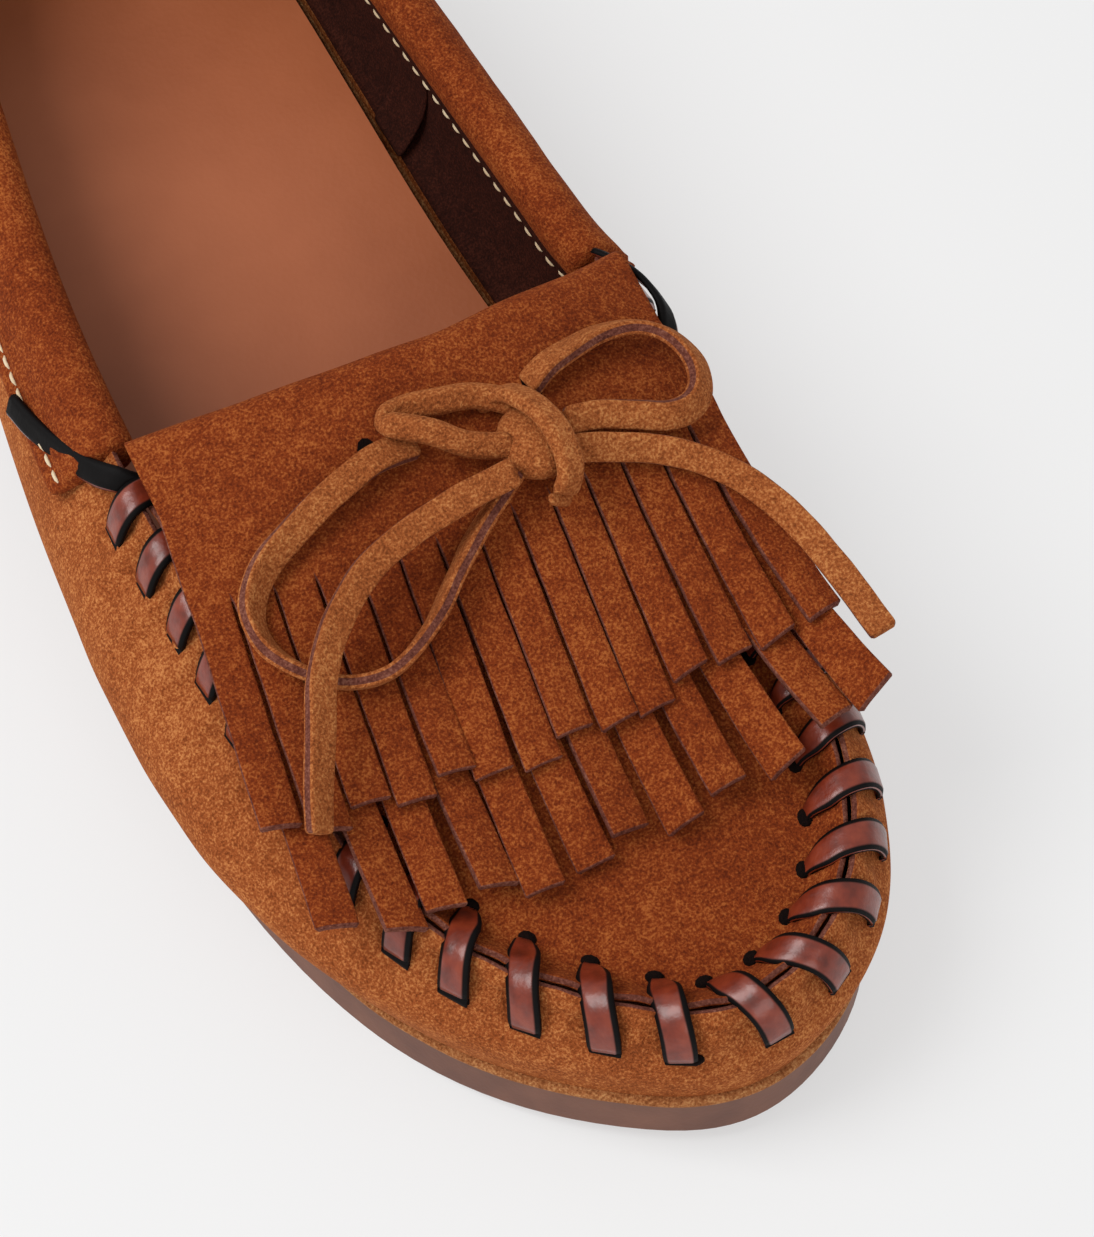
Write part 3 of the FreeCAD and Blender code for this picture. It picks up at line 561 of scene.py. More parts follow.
def hung_sheet(name, u, points, material, thick, replaces=(), cut_edge=True):
    """A leather sheet on the last, its outside facing out of the shoe: points are a row per station."""
    rows, columns = points.shape[:2]
    faces = grid_faces(rows, columns)
    row, column = rows // 2, columns // 2
    a, b, c = points[row, column], points[row, column + 1], points[row + 1, column]
    if np.dot(np.cross(b - a, c - a), outward(u)[row]) < 0:
        faces = [tuple(reversed(face)) for face in faces]
    obj = piece(name, points.reshape(-1, 3), faces, material, SHOE, replaces)
    if cut_edge:
        obj.data.materials.append(CUT_EDGE)
    modifier(obj, "SOLIDIFY", thickness=thick * MM, offset=-1.0, material_offset_rim=int(cut_edge))
    subdivide(obj)
    return obj


def vamp():
    """The wrap-up front: its top edge gathers into the seam's outer half, its ends tuck under the quarters."""
    u = even_rows(LATERAL_SEAM - 0.06, MEDIAL_SEAM + 0.06, SEAM_STEP)
    heights = np.r_[np.linspace(0, 0.5, 11), np.linspace(0.54, 0.87, 9)]
    body, normals = wall(u, heights)
    share = ridge_share(u)
    bump, fine = pucker(u) * share, creases(u) * share
    near_seam = smooth(heights, 0.42, 0.85)[None, :]
    push = (bump[:, None] - 0.45 * share[:, None]) * 1.5 * near_seam + fine[:, None] * 0.35 * near_seam ** 3
    body = body + normals * push[..., None]
    lip = crest_spots(u, [
        (2.4 + 0.75 * bump + 0.3 * fine, -1.0 + 0.3 * bump), (1.7 + 0.45 * bump, -0.3 + 0.6 * bump),
        (1.3 + 0.2 * bump, 0.3 + 0.8 * bump), (1.2 + 0.15 * fine, 0.75 + 0.9 * bump),
    ])
    plain = upper_surface(u, np.array([0.93, 0.955, 0.98, 1.0]))
    lip = lip * share[:, None, None] + plain * (1 - share)[:, None, None]
    points = np.concatenate([body, lip], 1)
    tuck = 1 - smooth(u, LATERAL_SEAM - 0.02, LATERAL_SEAM + 0.05)
    tuck = tuck + smooth(u, MEDIAL_SEAM - 0.05, MEDIAL_SEAM + 0.02)
    points = points - outward(u)[:, None] * tuck[:, None, None] * 0.7
    hung_sheet("vamp_leather", u, points, SUEDE_VAMP, 1.25, ("vamp",))


def quarter(name, start, end):
    """One side of the heel, from the side seam to the back seam."""
    u = even_rows(start, end, 3.0)
    points, _ = wall(u, np.linspace(0, 1, 18))
    hung_sheet(name + "_leather", u, points, SUEDE_VAMP, 1.4, (name,))


def seam_tape(side, seam):
    """A strip of lining over the inside of the side seam."""
    u = np.linspace(seam - 0.12, seam + 0.12, 7)
    heights = np.linspace(0.05, 0.93, 16)
    points = upper_surface(u, heights)
    points = points - grid_normals(points, outward(u)) * 3.05
    obj = hung_sheet("lining_seam_tape_" + side, u, points, LINING_SUEDE, 0.5, cut_edge=False)


def closed_ring(name, sections, material, replaces=(), wrap=True):
    """A bar whose section is a closed row of points at each station; wrap joins its two ends."""
    rows, columns = sections.shape[:2]
    faces = tube_faces(rows, columns)
    if wrap:
        last = (rows - 1) * columns
        faces = faces[:-2]
        faces += [(last + j, last + (j + 1) % columns, (j + 1) % columns, j) for j in range(columns)]
    return face_out(piece(name, sections.reshape(-1, 3), faces, material, SHOE, replaces))


def sole_edge_strip():
    """The upper's lasted edge, turned out over the rubber and trimmed close."""
    u = np.linspace(0, COUNT, 420, endpoint=False)
    edge, out = sole_edge(u), outward(u)
    base = sole_low(edge[:, 1]) + SOLE_THICK
    ripple = wobble(edge, 9.0, 0.22, 2.0)
    spots = [(-2.2, 0.05), (-0.1, 0.05), (0.35, 0.35), (0.5, 0.9), (0.25, 1.4), (-0.5, 1.6), (-2.2, 1.45)]
    columns = []
    for out_by, up_by in spots:
        column = edge + out * (out_by + ripple * (out_by > -1))[:, None]
        column[:, 2] = base + up_by + (ripple * 0.4 if up_by > 0.3 else 0)
        columns.append(column)
    obj = closed_ring("sole_edge_strip", np.stack(columns, 1), SUEDE_STRIP)
    subdivide(obj)


def plug():
    """The apron: its edge turns up as the inner half of the seam, with a dimple at every stitch hole."""
    u = even_rows(LATERAL_THROAT + 0.08, MEDIAL_THROAT - 0.08, SEAM_STEP)
    bump, fine = pucker(u), creases(u + 0.03)
    crest, out = top_ring(u), outward(u)

    def face_height(out_by):
        spot = crest + out * out_by
        return plug_height(spot[:, 0], spot[:, 1]) - crest[:, 2]

    gutter = [(-4.6, np.minimum(face_height(-4.6) + 0.4, -2.1 + 0.3 * bump)),
              (-6.2, np.minimum(face_height(-6.2), face_height(-6.2) * 0.7 - 1.0) - 0.45 * (1 - bump))]
    lip = crest_spots(u, [
        (-1.15 - 0.15 * fine, 0.7 + 0.9 * bump), (-1.25 - 0.2 * bump, 0.25 + 0.8 * bump),
        (-1.7 - 0.45 * bump, -0.3 + 0.6 * bump), (-2.5 - 0.7 * bump - 0.3 * fine, -1.1 + 0.35 * bump),
        (-3.4 - 0.4 * bump, -1.8 + 0.3 * bump),
    ] + gutter)
    back = np.linspace(lip[-1, -1, 0], lip[0, -1, 0], 26)[1:-1]
    throat = np.stack([back, throat_y(back) - 4.5, plug_height(back, throat_y(back) - 4.5)], 1)
    loop = np.concatenate([lip[:, -1], throat])
    middle = np.array([6.0, -62.0, 0.0])
    inner = []
    for share in (0.1, 0.22, 0.36, 0.52, 0.68, 0.84, 1.0):
        ring_points = loop + (middle - loop) * share
        flat = plug_height(ring_points[:, 0], ring_points[:, 1])
        start_gap = loop[:, 2] - plug_height(loop[:, 0], loop[:, 1])
        ring_points[:, 2] = flat + start_gap * (1 - smooth(share, 0.0, 0.3)) + wobble(
            np.c_[ring_points[:, :2], 0 * flat], 22.0, 0.5, 8.0) * smooth(share, 0, 0.3)
        inner.append(ring_points)
    lip_columns = lip.shape[1] - 1
    around = len(loop)
    points = [lip[:, j] for j in range(lip_columns)] + [loop] + inner[:-1]
    vertices = np.concatenate(points + [inner[-1][:1]])
    starts = np.cumsum([0] + [len(column) for column in points])
    faces = []
    seam = len(u)
    for j in range(lip_columns):
        a, b = starts[j], starts[j + 1]
        faces += [(a + i, a + i + 1, b + i + 1, b + i) for i in range(seam - 1)]
    for j in range(lip_columns, len(points) - 1):
        a, b = starts[j], starts[j + 1]
        faces += [(a + i, a + (i + 1) % around, b + (i + 1) % around, b + i) for i in range(around)]
    last = starts[-2]
    faces += [(last + i, last + (i + 1) % around, len(vertices) - 1) for i in range(around)]
    obj = piece("plug_leather", vertices, faces, SUEDE_UPPER, SHOE, ("plug",))
    face_out(obj, closed=False)
    obj.data.materials.append(CUT_EDGE)
    modifier(obj, "SOLIDIFY", thickness=1.2 * MM, offset=-1.0, material_offset_rim=1)
    subdivide(obj)


def ribbon(path, across, width, thick, edge=0.3):
    """Section points of a flat strip along a path: across is the direction of its width at each point."""
    ahead = np.gradient(path, axis=0)
    ahead /= np.linalg.norm(ahead, axis=1, keepdims=True)
    across = across - ahead * (across * ahead).sum(1, keepdims=True)
    across /= np.linalg.norm(across, axis=1, keepdims=True)
    up = np.cross(across, ahead)
    up *= np.sign((up * UP).sum(1, keepdims=True) + 1e-9)
    h = thick / 2
    width = np.broadcast_to(width, (len(path),))[:, None]
    columns, v = [], []
    face = np.linspace(-1, 1, 7)
    for x in face:
        rise = h - edge * thick * max(0, abs(x) - 0.8) / 0.2
        columns.append(path + across * (x * width / 2) + up * rise)
        v.append((x + 1) / 4)
    for x in (0.98, 0.4, -0.4, -0.98):
        columns.append(path + across * (x * width / 2) - up * h)
        v.append(0.75 - x * 0.2)
    return np.stack(columns, 1), np.array(v)


def soft_line(points, count):
    """Points evenly along a smooth line through the given ones."""
    points = np.asarray(points, float)
    marks = walked(points)
    weights = spline_weights(marks, np.linspace(0, marks[-1], count))
    return weights @ points


def seam_axes(u):
    """The crest at one station, the direction out of the shoe there, and the direction along the seam."""
    crest, later = top_ring(np.array([u, u + 0.05]))
    out = outward(np.array([u]))[0]
    along = np.cross(UP, out)
    return crest, out, along * np.sign(np.dot(along, later - crest))


def gutter_height(spot, crest):
    """Height over the crest of the plug's leather in the hollow beside the seam."""
    face = plug_height(spot[0], spot[1]) - crest[2]
    return min(face, face * 0.7 - 1.0)


def whip_stitches():
    """One turn of the flat lace per stitch: out of its hole in the plug, over the pucker and down into the
    vamp. Each turn leans along the seam, and round the toe its leading edge stands up."""
    vertices, faces, uv = [], [], []
    random.seed(7)
    for number, u in enumerate(STITCH_STATIONS):
        crest, out, along = seam_axes(u)
        face = gutter_height(crest - out * 6.2, crest)
        lean = 1.9 + random.uniform(-0.4, 0.4)
        shift = random.uniform(-0.5, 0.5)
        spots = [(-6.4, face - 0.9, -1.15), (-5.7, face + 0.75, -1.0),
                 (-3.6, max(-0.2, face * 0.5 + 0.9), -0.6), (-1.6, 1.15, -0.25), (0.6, 1.5, 0.1),
                 (2.7, 0.75, 0.5), (4.2, -1.0, 0.85), (5.2, -3.3, 1.1), (5.3, -5.4, 1.25), (4.3, -6.6, 1.3)]
        path = soft_line([crest + out * a + UP * b + along * (c * lean + shift) for a, b, c in spots], 26)
        share = np.linspace(0, 1, len(path))
        at_toe = float(smooth(u, 6.2, 8.0) * (1 - smooth(u, 10.3, 11.6)))
        tilt = np.radians(26 * at_toe - 4) * np.sin(np.pi * np.clip(share * 1.1, 0, 1))
        across = along[None] * np.cos(tilt)[:, None] + UP[None] * np.sin(tilt)[:, None]
        width = LACE_WIDE * (0.5 + 0.55 * smooth(share, 0.02, 0.28)) * (1 - 0.1 * smooth(share, 0.8, 1.0))
        points, v = ribbon(path, across, width, LACE_THICK)
        rows, columns = points.shape[:2]
        offset = len(vertices)
        vertices += list(points.reshape(-1, 3))
        uv += [(number + a, b) for a in share for b in v]
        faces += tube_faces(rows, columns, offset)
    obj = piece("whip_stitch_lace", np.array(vertices), faces, LACE, SHOE, ("whip_stitches",), uv)
    face_out(obj)


# the lace's two ends, lying along the outside of the seam behind the last stitches
LACE_TAILS = {
    "lacing_tail_lateral": [
        (-33.5, -12.5, 42.0), (-36.8, -10.6, 43.6), (-39.2, -7.0, 42.4), (-41.2, -1.5, 40.6),
        (-43.2, 5.5, 39.0), (-44.6, 12.5, 38.0),
    ],
    "lacing_tail_medial": [
        (47.2, -25.5, 42.8), (49.6, -21.0, 44.6), (49.6, -15.5, 45.6), (48.0, -10.0, 45.4),
        (45.8, -5.0, 43.8),
    ],
}


def lacing_tails():
    """Each end stands on its edge against the leather, so that mostly its dyed back shows."""
    for name, route in LACE_TAILS.items():
        path = soft_line(route, 30)
        share = np.linspace(0, 1, len(path))
        away = (path - np.array([4.0, 0.0, 0.0])) * np.array([1.0, 0.0, 0.0])
        away /= np.linalg.norm(away, axis=1, keepdims=True)
        lean = np.radians(20 + 45 * smooth(share, 0.0, 0.4))[:, None]
        points, v = ribbon(path, away * np.cos(lean) - UP * np.sin(lean), LACE_WIDE * 0.8, LACE_THICK)
        points = points + grid_nudge(points, 0.15, 4.0, 2.0)
        rows, columns = points.shape[:2]
        uv = [(a, (b + 0.5) % 1.0) for a in share for b in v]
        faces = tube_faces(rows, columns)
        obj = face_out(piece(name + "_lace", points.reshape(-1, 3), faces, LACE, SHOE, (name,), uv))


def stitch_holes():
    """Painted shade of the punched holes that the lace goes through: near-black lumps beside it, seen as small
    dark gaps.
    """
    vertices, faces = [], []
    for u in STITCH_STATIONS:
        crest, out, along = seam_axes(u)
        face = gutter_height(crest - out * 6.6 - along * 2.6, crest)
        for middle, size in ((crest - out * 6.7 - along * 2.7 + UP * (face - 0.1), (1.3, 1.6, 0.7)),
                             (crest + out * 4.9 + along * 3.4 - UP * 5.2, (0.9, 1.6, 1.1))):
            faces += tube_faces(5, 10, len(vertices))
            for polar in np.arange(0.5, 5) / 5 * math.pi:
                for turn in np.arange(10) / 10 * 2 * math.pi:
                    level = out * size[0] * math.cos(turn) + along * size[1] * math.sin(turn)
                    vertices.append(middle + level * math.sin(polar) + UP * size[2] * math.cos(polar))
    obj = face_out(piece("stitch_holes", np.array(vertices), faces, HOLE_SHADE))


# --------------------------------------------------------------------------------------------- collar
def collar_axes(u):
    """Top of the quarter, the direction down its outside, and the direction out, square to that."""
    marks = np.array([0.85, 0.86, 0.92, 0.93, 0.94, 1.0])
    points = upper_surface(u, marks)
    top = points[:, 5]
    down = points[:, 1] - top
    down /= np.linalg.norm(down, axis=1, keepdims=True)
    run = points[:, 4] - points[:, 2]
    run /= np.linalg.norm(run, axis=1, keepdims=True)
    out = outward(u)
    rise, level = run[:, 2:], (run * out).sum(1, keepdims=True)
    across = out * rise - UP * level
    return top, down, across / np.linalg.norm(across, axis=1, keepdims=True)


def collar_sections(u, section):
    """The same section, as (out, down) from the top line, set up at each station."""
    top, down, across = collar_axes(u)
    section = np.array(section)
    return top[:, None] + across[:, None] * section[None, :, :1] + down[:, None] * section[None, :, 1:]


CUFF_SECTION = [
    (0.35, 12.6), (0.9, 12.9), (1.45, 12.4), (1.6, 11.2), (1.25, 10.3), (1.6, 9.3), (2.3, 8.6), (2.05, 7.7),
    (2.6, 6.0), (2.9, 3.6), (2.5, 1.2), (1.5, -0.7), (-0.4, -2.0), (-2.6, -2.2), (-4.5, -1.2), (-5.5, 0.8),
    (-5.7, 3.4), (-5.5, 6.2), (-5.2, 8.3), (-4.3, 8.5), (-4.1, 6.0), (-4.1, 1.0), (-2.4, -0.5), (-0.4, -0.6),
    (0.3, 0.6), (0.35, 6.0),
]


def cuff(side, start, end):
    u = even_rows(start, end, 2.4)
    across = collar_axes(u)[2]
    points = collar_sections(u, CUFF_SECTION)
    outer = smooth(np.array(CUFF_SECTION)[:, 0], -3.0, 1.5)[None, :]
    ease = wobble(points, 16.0, 0.55, 4.0) + wobble(points, 6.0, 0.22, 6.0)
    points = points + across[:, None] * (ease * outer)[..., None] + UP * (
        wobble(points, 24.0, 0.5, 9.0) * outer)[..., None]
    replaces = ("collar_cuff_" + side,)
    obj = closed_ring("collar_cuff_" + side + "_suede", points, SUEDE_UPPER, replaces, wrap=False)
    subdivide(obj)


TAPE_SECTION = [
    (-4.2, 7.0), (-5.4, 7.3), (-5.95, 8.6), (-5.95, 10.6), (-5.3, 13.0), (-3.6, 15.2), (-3.0, 14.6),
    (-4.3, 11.5), (-4.5, 9.0),
]


def lining_tape(side, start, end):
    """The lining's turned top edge, sewn to the cuff's inner leg."""
    u = even_rows(start, end, 2.4)
    points = collar_sections(u, TAPE_SECTION)
    obj = closed_ring("lining_tape_" + side, points, LINING_SUEDE, wrap=False)
    subdivide(obj)


def thread_run(a, b, radius, sag):
    """One stitch of thread: a small round bar between two points, its middle pressed in by sag."""
    points, rings = [], 5
    ahead = (b - a) / np.linalg.norm(b - a)
    side = np.cross(ahead, UP)
    side /= np.linalg.norm(side)
    up = np.cross(side, ahead)
    for i in range(rings):
        t = i / (rings - 1)
        size = radius * (0.35 if i in (0, rings - 1) else 1.0)
        middle = a + (b - a) * t - sag * (2 * t - 1) ** 2
        for j in range(6):
            angle = j / 6 * 2 * math.pi
            points.append(middle + side * size * math.cos(angle) + up * size * math.sin(angle))
    return points, rings


def stitch_row(name, replaces, lines, pitch=3.1, long=2.55, radius=0.3):
    """Rows of lockstitch along lines of points with the direction out of the leather: (points, outwards)."""
    vertices, faces = [], []
    for points, outwards in lines:
        way = walked(points)
        for mark in np.arange(0.4, way[-1] - long, pitch):
            start, end = between(way, points, mark), between(way, points, mark + long)
            run, rings = thread_run(start, end, radius, between(way, outwards, mark) * 0.28)
            faces += tube_faces(rings, 6, len(vertices))
            vertices += run
    obj = face_out(piece(name, np.array(vertices), faces, THREAD, SHOE, replaces))


def cuff_stitching(side, start, end):
    u = even_rows(start, end, 1.0)
    top, down, across = collar_axes(u)
    lines = []
    for level, drop, way_out in ((1.55, 10.35, across), (-6.0, 9.7, -across)):
        lines.append((top + across * level + down * drop, way_out))
    stitch_row("cuff_thread_" + side, ("cuff_stitching_" + side,), lines)


# ---------------------------------------------------------------------------------- fringe and throat
def fringe_surface(x, y, lift):
    """Middle of a fringe layer's thickness."""
    return flap_height(x, y, lift) + FLAP_THICK / 2


def edge_point(edge, share):
    left, right, middle_y, side_y = edge
    return np.array([left + (right - left) * share, middle_y + (side_y - middle_y) * (2 * share - 1) ** 2])


def flap_layer(obj, rim):
    """Smooth a sheet of the kiltie and give it its thickness."""
    modifier(obj, "SUBSURF", levels=1, render_levels=1, boundary_smooth="PRESERVE_CORNERS")
    modifier(obj, "SOLIDIFY", thickness=FLAP_THICK * MM * 0.9, offset=0.0, material_offset_rim=rim,
             use_even_offset=False)


def fringe(name, replaces, lift, count, root, cut, tip, slot, strips, head_rows):
    """A layer of suede slit into strips. strips gives each one's own (length, lean, curl, twist): millimetres
    longer, how far its tip swings towards the medial side and lifts, and degrees it rolls."""
    across, rows = 5, 14
    vertices, faces = [], []
    for i in range(count):
        longer, lean, curl, twist = strips[i % len(strips)]
        offset = len(vertices)
        for r in range(head_rows + rows):
            for c in range(across):
                local = c / (across - 1)
                share = (i + local) / count
                if r < head_rows:
                    t = r / (head_rows - 1)
                    spot = edge_point(root, share) * (1 - t) + edge_point(cut, share) * t
                    vertices.append(np.array([*spot, fringe_surface(spot[0], spot[1], lift)]))
                    continue
                t = (r - head_rows + 1) / rows
                half = slot / 2 / (tip[1] - tip[0])
                edge_share = (i + np.clip(local, half * count, 1 - half * count)) / count
                start, end = edge_point(cut, edge_share), edge_point(tip, edge_share)
                spot = start + (end - start) * t
                spot = spot + np.array([lean * t ** 1.8, -longer * t])
                roll = math.radians(twist) * t ** 1.3
                width = (tip[1] - tip[0]) / count
                side = (local - 0.5) * width
                spot[0] -= side * (1 - math.cos(roll))
                height = fringe_surface(spot[0], spot[1], lift) + curl * t ** 2.2 + side * math.sin(roll)
                height += abs(math.sin(roll)) * width * 0.5 - 0.5 * t * (2 * local - 1) ** 2
                vertices.append(np.array([*spot, height]))
        faces += grid_faces(head_rows + rows, across, offset=offset)
    points = np.array(vertices)
    waves = wobble(np.c_[points[:, :2], 0 * points[:, 2]], 15.0, 0.45, 11.0 + lift)
    points[:, 2] += waves * smooth(-points[:, 1], 24, 34)
    points += grid_nudge(points, 0.14, 2.6, 3.0) * smooth(-points[:, 1], 40, 46)[:, None]
    obj = piece(name, points, faces, SUEDE_UPPER, None, replaces)
    face_out(obj, closed=False, weld=True)
    obj.data.materials.append(CUT_EDGE)
    flap_layer(obj, rim=1)
    modifier(obj, "BEVEL", width=0.22 * MM, segments=1, limit_method="ANGLE", angle_limit=math.radians(50))
    apply_stack(obj)
    # where the layer joins the throat fold its edge is suede, so that the join doesn't show
    root_line = place((0, FLAP_ROOT - 0.7, 0))[1]
    for polygon in obj.data.polygons:
        if polygon.center.y > root_line:
            polygon.material_index = 0
    return obj


UPPER_LIFT = FLAP_THICK + FLAP_GAP
UPPER_STRIPS = [
    (1.0, -0.6, 0.6, 0), (2.5, -0.3, 0.2, -6), (-0.5, 0.4, 0.0, 5), (1.0, 0.3, 0.5, 0), (-1.0, 0.8, 0.9, -8),
    (0.5, -0.4, 0.2, 7), (1.5, 0.5, 0.0, 3), (-0.8, 0.2, 0.7, -5), (0.6, 0.6, 0.3, 8), (1.2, 0.2, 0.0, -4),
    (-0.6, 0.5, 0.6, 6), (0.8, 1.0, 0.4, -9), (2.2, 1.6, 0.8, 5), (3.0, 3.0, 0.6, -12),
]
LOWER_STRIPS = [
    (2.0, -0.5, -0.6, 10), (3.5, 1.2, -0.4, -8), (1.0, 0.6, 0.2, 7), (-0.5, 1.6, 0.4, -12),
    (1.8, 0.2, 0.8, 10), (0.5, 1.4, 0.3, 6), (-1.5, 0.4, 0.9, -14), (1.0, 1.2, 0.2, 9), (-0.5, 1.6, 0.8, -6),
    (2.0, 3.5, 0.4, 14), (1.0, 5.0, 1.0, -16), (3.0, 4.0, 1.8, 20),
]


def kiltie():
    lower = fringe("lower_fringe_suede", ("lower_fringe",), 0.0, 12, (-34.5, 45.5, FLAP_ROOT, FLAP_ROOT),
                   (-35, 47, -48, -44), (-40, 48.5, -93, -86), 1.4, LOWER_STRIPS, 9)
    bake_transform(lower)
    upper = fringe("upper_fringe_suede", ("upper_fringe",), UPPER_LIFT, 14,
                   (-34.5, 47.0, FLAP_ROOT, FLAP_ROOT), (-36.5, 49, -43.5, -37), (-41, 48, -77, -72), 0.5,
                   UPPER_STRIPS, 9)
    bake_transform(upper)


def throat_fold():
    """The kiltie's rolled root, round the rear edge of plug and lining and back under them."""
    x = np.linspace(-34.5, 47.0, 57)
    rear = throat_y(x)
    columns = []
    radius = 3.1
    narrow = 4.0 + (x - 4.0) * 0.86
    # a tongue of the fold lies just under the upper layer's root
    for ahead, lower in ((3.0, 0.35), (0.9, 0.22)):
        y = np.full_like(x, FLAP_ROOT - ahead)
        columns.append(np.stack([x, y, fringe_surface(x, y, UPPER_LIFT) - lower], 1))
    for t in np.linspace(0, 1, 6):
        y = FLAP_ROOT + (rear + radius * 0.9 - 6.2 - FLAP_ROOT) * t
        columns.append(np.stack([x, y, fringe_surface(x, y, UPPER_LIFT)], 1))
    bend = columns[-1][:, 1]
    high = columns[-1][:, 2]
    low = np.minimum(plug_height(narrow, bend) - SUEDE - 0.5 - FLAP_THICK / 2, high - 6.0)
    for angle in np.linspace(0, 180, 10)[1:]:
        a = math.radians(angle)
        reach = (rear - 0.6 - bend)
        z = (high + low) / 2 + (high - low) / 2 * math.cos(a)
        pull = smooth(angle, 20, 180)
        columns.append(np.stack([x * (1 - pull) + narrow * pull, bend + reach * math.sin(a), z], 1))
    for t in (0.5, 1.0):
        y = bend + (FLAP_ROOT + 1 - bend) * t
        under_plug = plug_height(narrow, y) - SUEDE - 0.5 - FLAP_THICK / 2
        columns.append(np.stack([narrow, y, np.minimum(under_plug, low)], 1))
    points = np.stack(columns, 1)
    soft = wobble(points, 14.0, 0.5, 12.0) * smooth(np.arange(points.shape[1]), 3, 8)[None, :]
    points[..., 2] += soft
    points[..., 1] += wobble(points, 11.0, 0.5, 14.0) * smooth(np.arange(points.shape[1]), 4, 10)[None, :]
    rows, count = points.shape[:2]
    faces = grid_faces(rows, count)
    obj = piece("throat_fold_suede", points.reshape(-1, 3), faces, SUEDE_UPPER, None, ("throat_fold",))
    a, b, c = points[20, 2], points[21, 2], points[20, 3]
    if np.cross(b - a, c - a)[2] < 0:
        for polygon in obj.data.polygons:
            polygon.flip()
    flap_layer(obj, rim=0)
    apply_stack(obj)
    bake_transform(obj)


def shoe():
    vamp()
    quarter("quarter_lateral", 0.0, LATERAL_SEAM)
    quarter("quarter_medial", MEDIAL_SEAM, COUNT)
    seam_tape("lateral", LATERAL_SEAM)
    seam_tape("medial", MEDIAL_SEAM)
    sole_edge_strip()
    plug()
    whip_stitches()
    lacing_tails()
    stitch_holes()
    for side, start, end in (("lateral", 0.02, LATERAL_THROAT - 0.02),
                             ("medial", MEDIAL_THROAT + 0.03, COUNT - 0.02)):
        cuff(side, start, end)
        lining_tape(side, start, end)
        cuff_stitching(side, start + 0.06, end - 0.02)
    throat_fold()
    kiltie()


def carried_over():
    """Materials of the pieces whose solid is already the right shape."""
    finishes = {
        "outsole": RUBBER, "heel_lift": RUBBER, "sock_lining": SOCK_LEATHER, "insole_board": BOARD,
        "foam_insole": FOAM, "heel_counter": BOARD, "heel_backstay": SUEDE_VAMP, "vamp_lining": LINING_SUEDE,
        "plug_lining": LINING_SUEDE, "quarter_lining_lateral": LINING_SUEDE,
        "quarter_lining_medial": LINING_SUEDE,
    }
    for name, material in finishes.items():
        obj = bpy.data.objects[name]
        obj.data.materials.clear()
        obj.data.materials.append(material)


# ------------------------------------------------------------------------------------------------ bow
BOW_ROUTES = {
    "bow_loop_left": [
        (3.0, -31.0, 53.9), (-2.5, -31.4, 56.2), (-10, -33.5, 55.4), (-18, -36, 53.2), (-25.5, -39, 51.0),
        (-30, -44.5, 49.2), (-29.5, -51, 47.8), (-25, -57, 46.6), (-18.5, -60.8, 46.2), (-11.5, -60, 46.8),
        (-4.5, -55.5, 48.4), (1.5, -50, 50.3), (7.5, -45.8, 52.2), (14.3, -41.6, 53.8),
    ],
    "bow_loop_right": [
        (22.5, -28.4, 53.2), (25.5, -27.4, 55.2), (29.5, -26.3, 55.0), (36, -24.8, 54.2), (42, -25.3, 53.2),
        (46.5, -29, 52.2),
        (47.8, -34.8, 51.2), (45.5, -40, 50.6), (40.5, -41.5, 50.8), (34.8, -38.8, 51.9), (29, -37, 53.2),
        (24.5, -37.2, 54.2),
    ],
    "bow_tail_left": [
        (13.5, -43.2, 56.8), (5, -44.2, 57.0), (-4, -45.2, 55.8), (-12.5, -47.5, 54.2), (-19.5, -52.5, 52.4),
        (-25, -59, 51.6), (-28.5, -66.5, 49.2), (-32, -73, 45.8), (-34.5, -78.5, 43.0),
    ],
    "bow_tail_right": [
        (23.5, -41, 53.0), (31, -42.4, 50.8), (38.5, -45.6, 48.8), (44.5, -51, 47.4), (48.5, -58, 46.2),
        (50.8, -66.5, 45.2), (52.2, -75.5, 44.4), (53, -84, 43.6),
    ],
}


def route_line(points):
    """Points along the smooth NURBS line that the route's points control, in the last's millimetres."""
    curve = bpy.data.curves.new("route", "CURVE")
    curve.dimensions = "3D"
    spline = curve.splines.new("NURBS")
    spline.points.add(len(points) - 1)
    for point, spot in zip(spline.points, points):
        point.co = (*spot, 1.0)
    spline.order_u = 3
    spline.use_endpoint_u = True
    spline.resolution_u = 8
    obj = bpy.data.objects.new("route", curve)
    bpy.context.collection.objects.link(obj)
    bpy.context.view_layer.update()
    mesh = bpy.data.meshes.new_from_object(obj.evaluated_get(bpy.context.evaluated_depsgraph_get()))
    line = np.array([v.co for v in mesh.vertices])
    bpy.data.objects.remove(obj)
    bpy.data.meshes.remove(mesh)
    bpy.data.curves.remove(curve)
    return line


def resample(line, step):
    way = walked(line)
    count = max(4, int(round(way[-1] / step)) + 1)
    marks = np.linspace(0, way[-1], count)
    return between(way, line, marks)


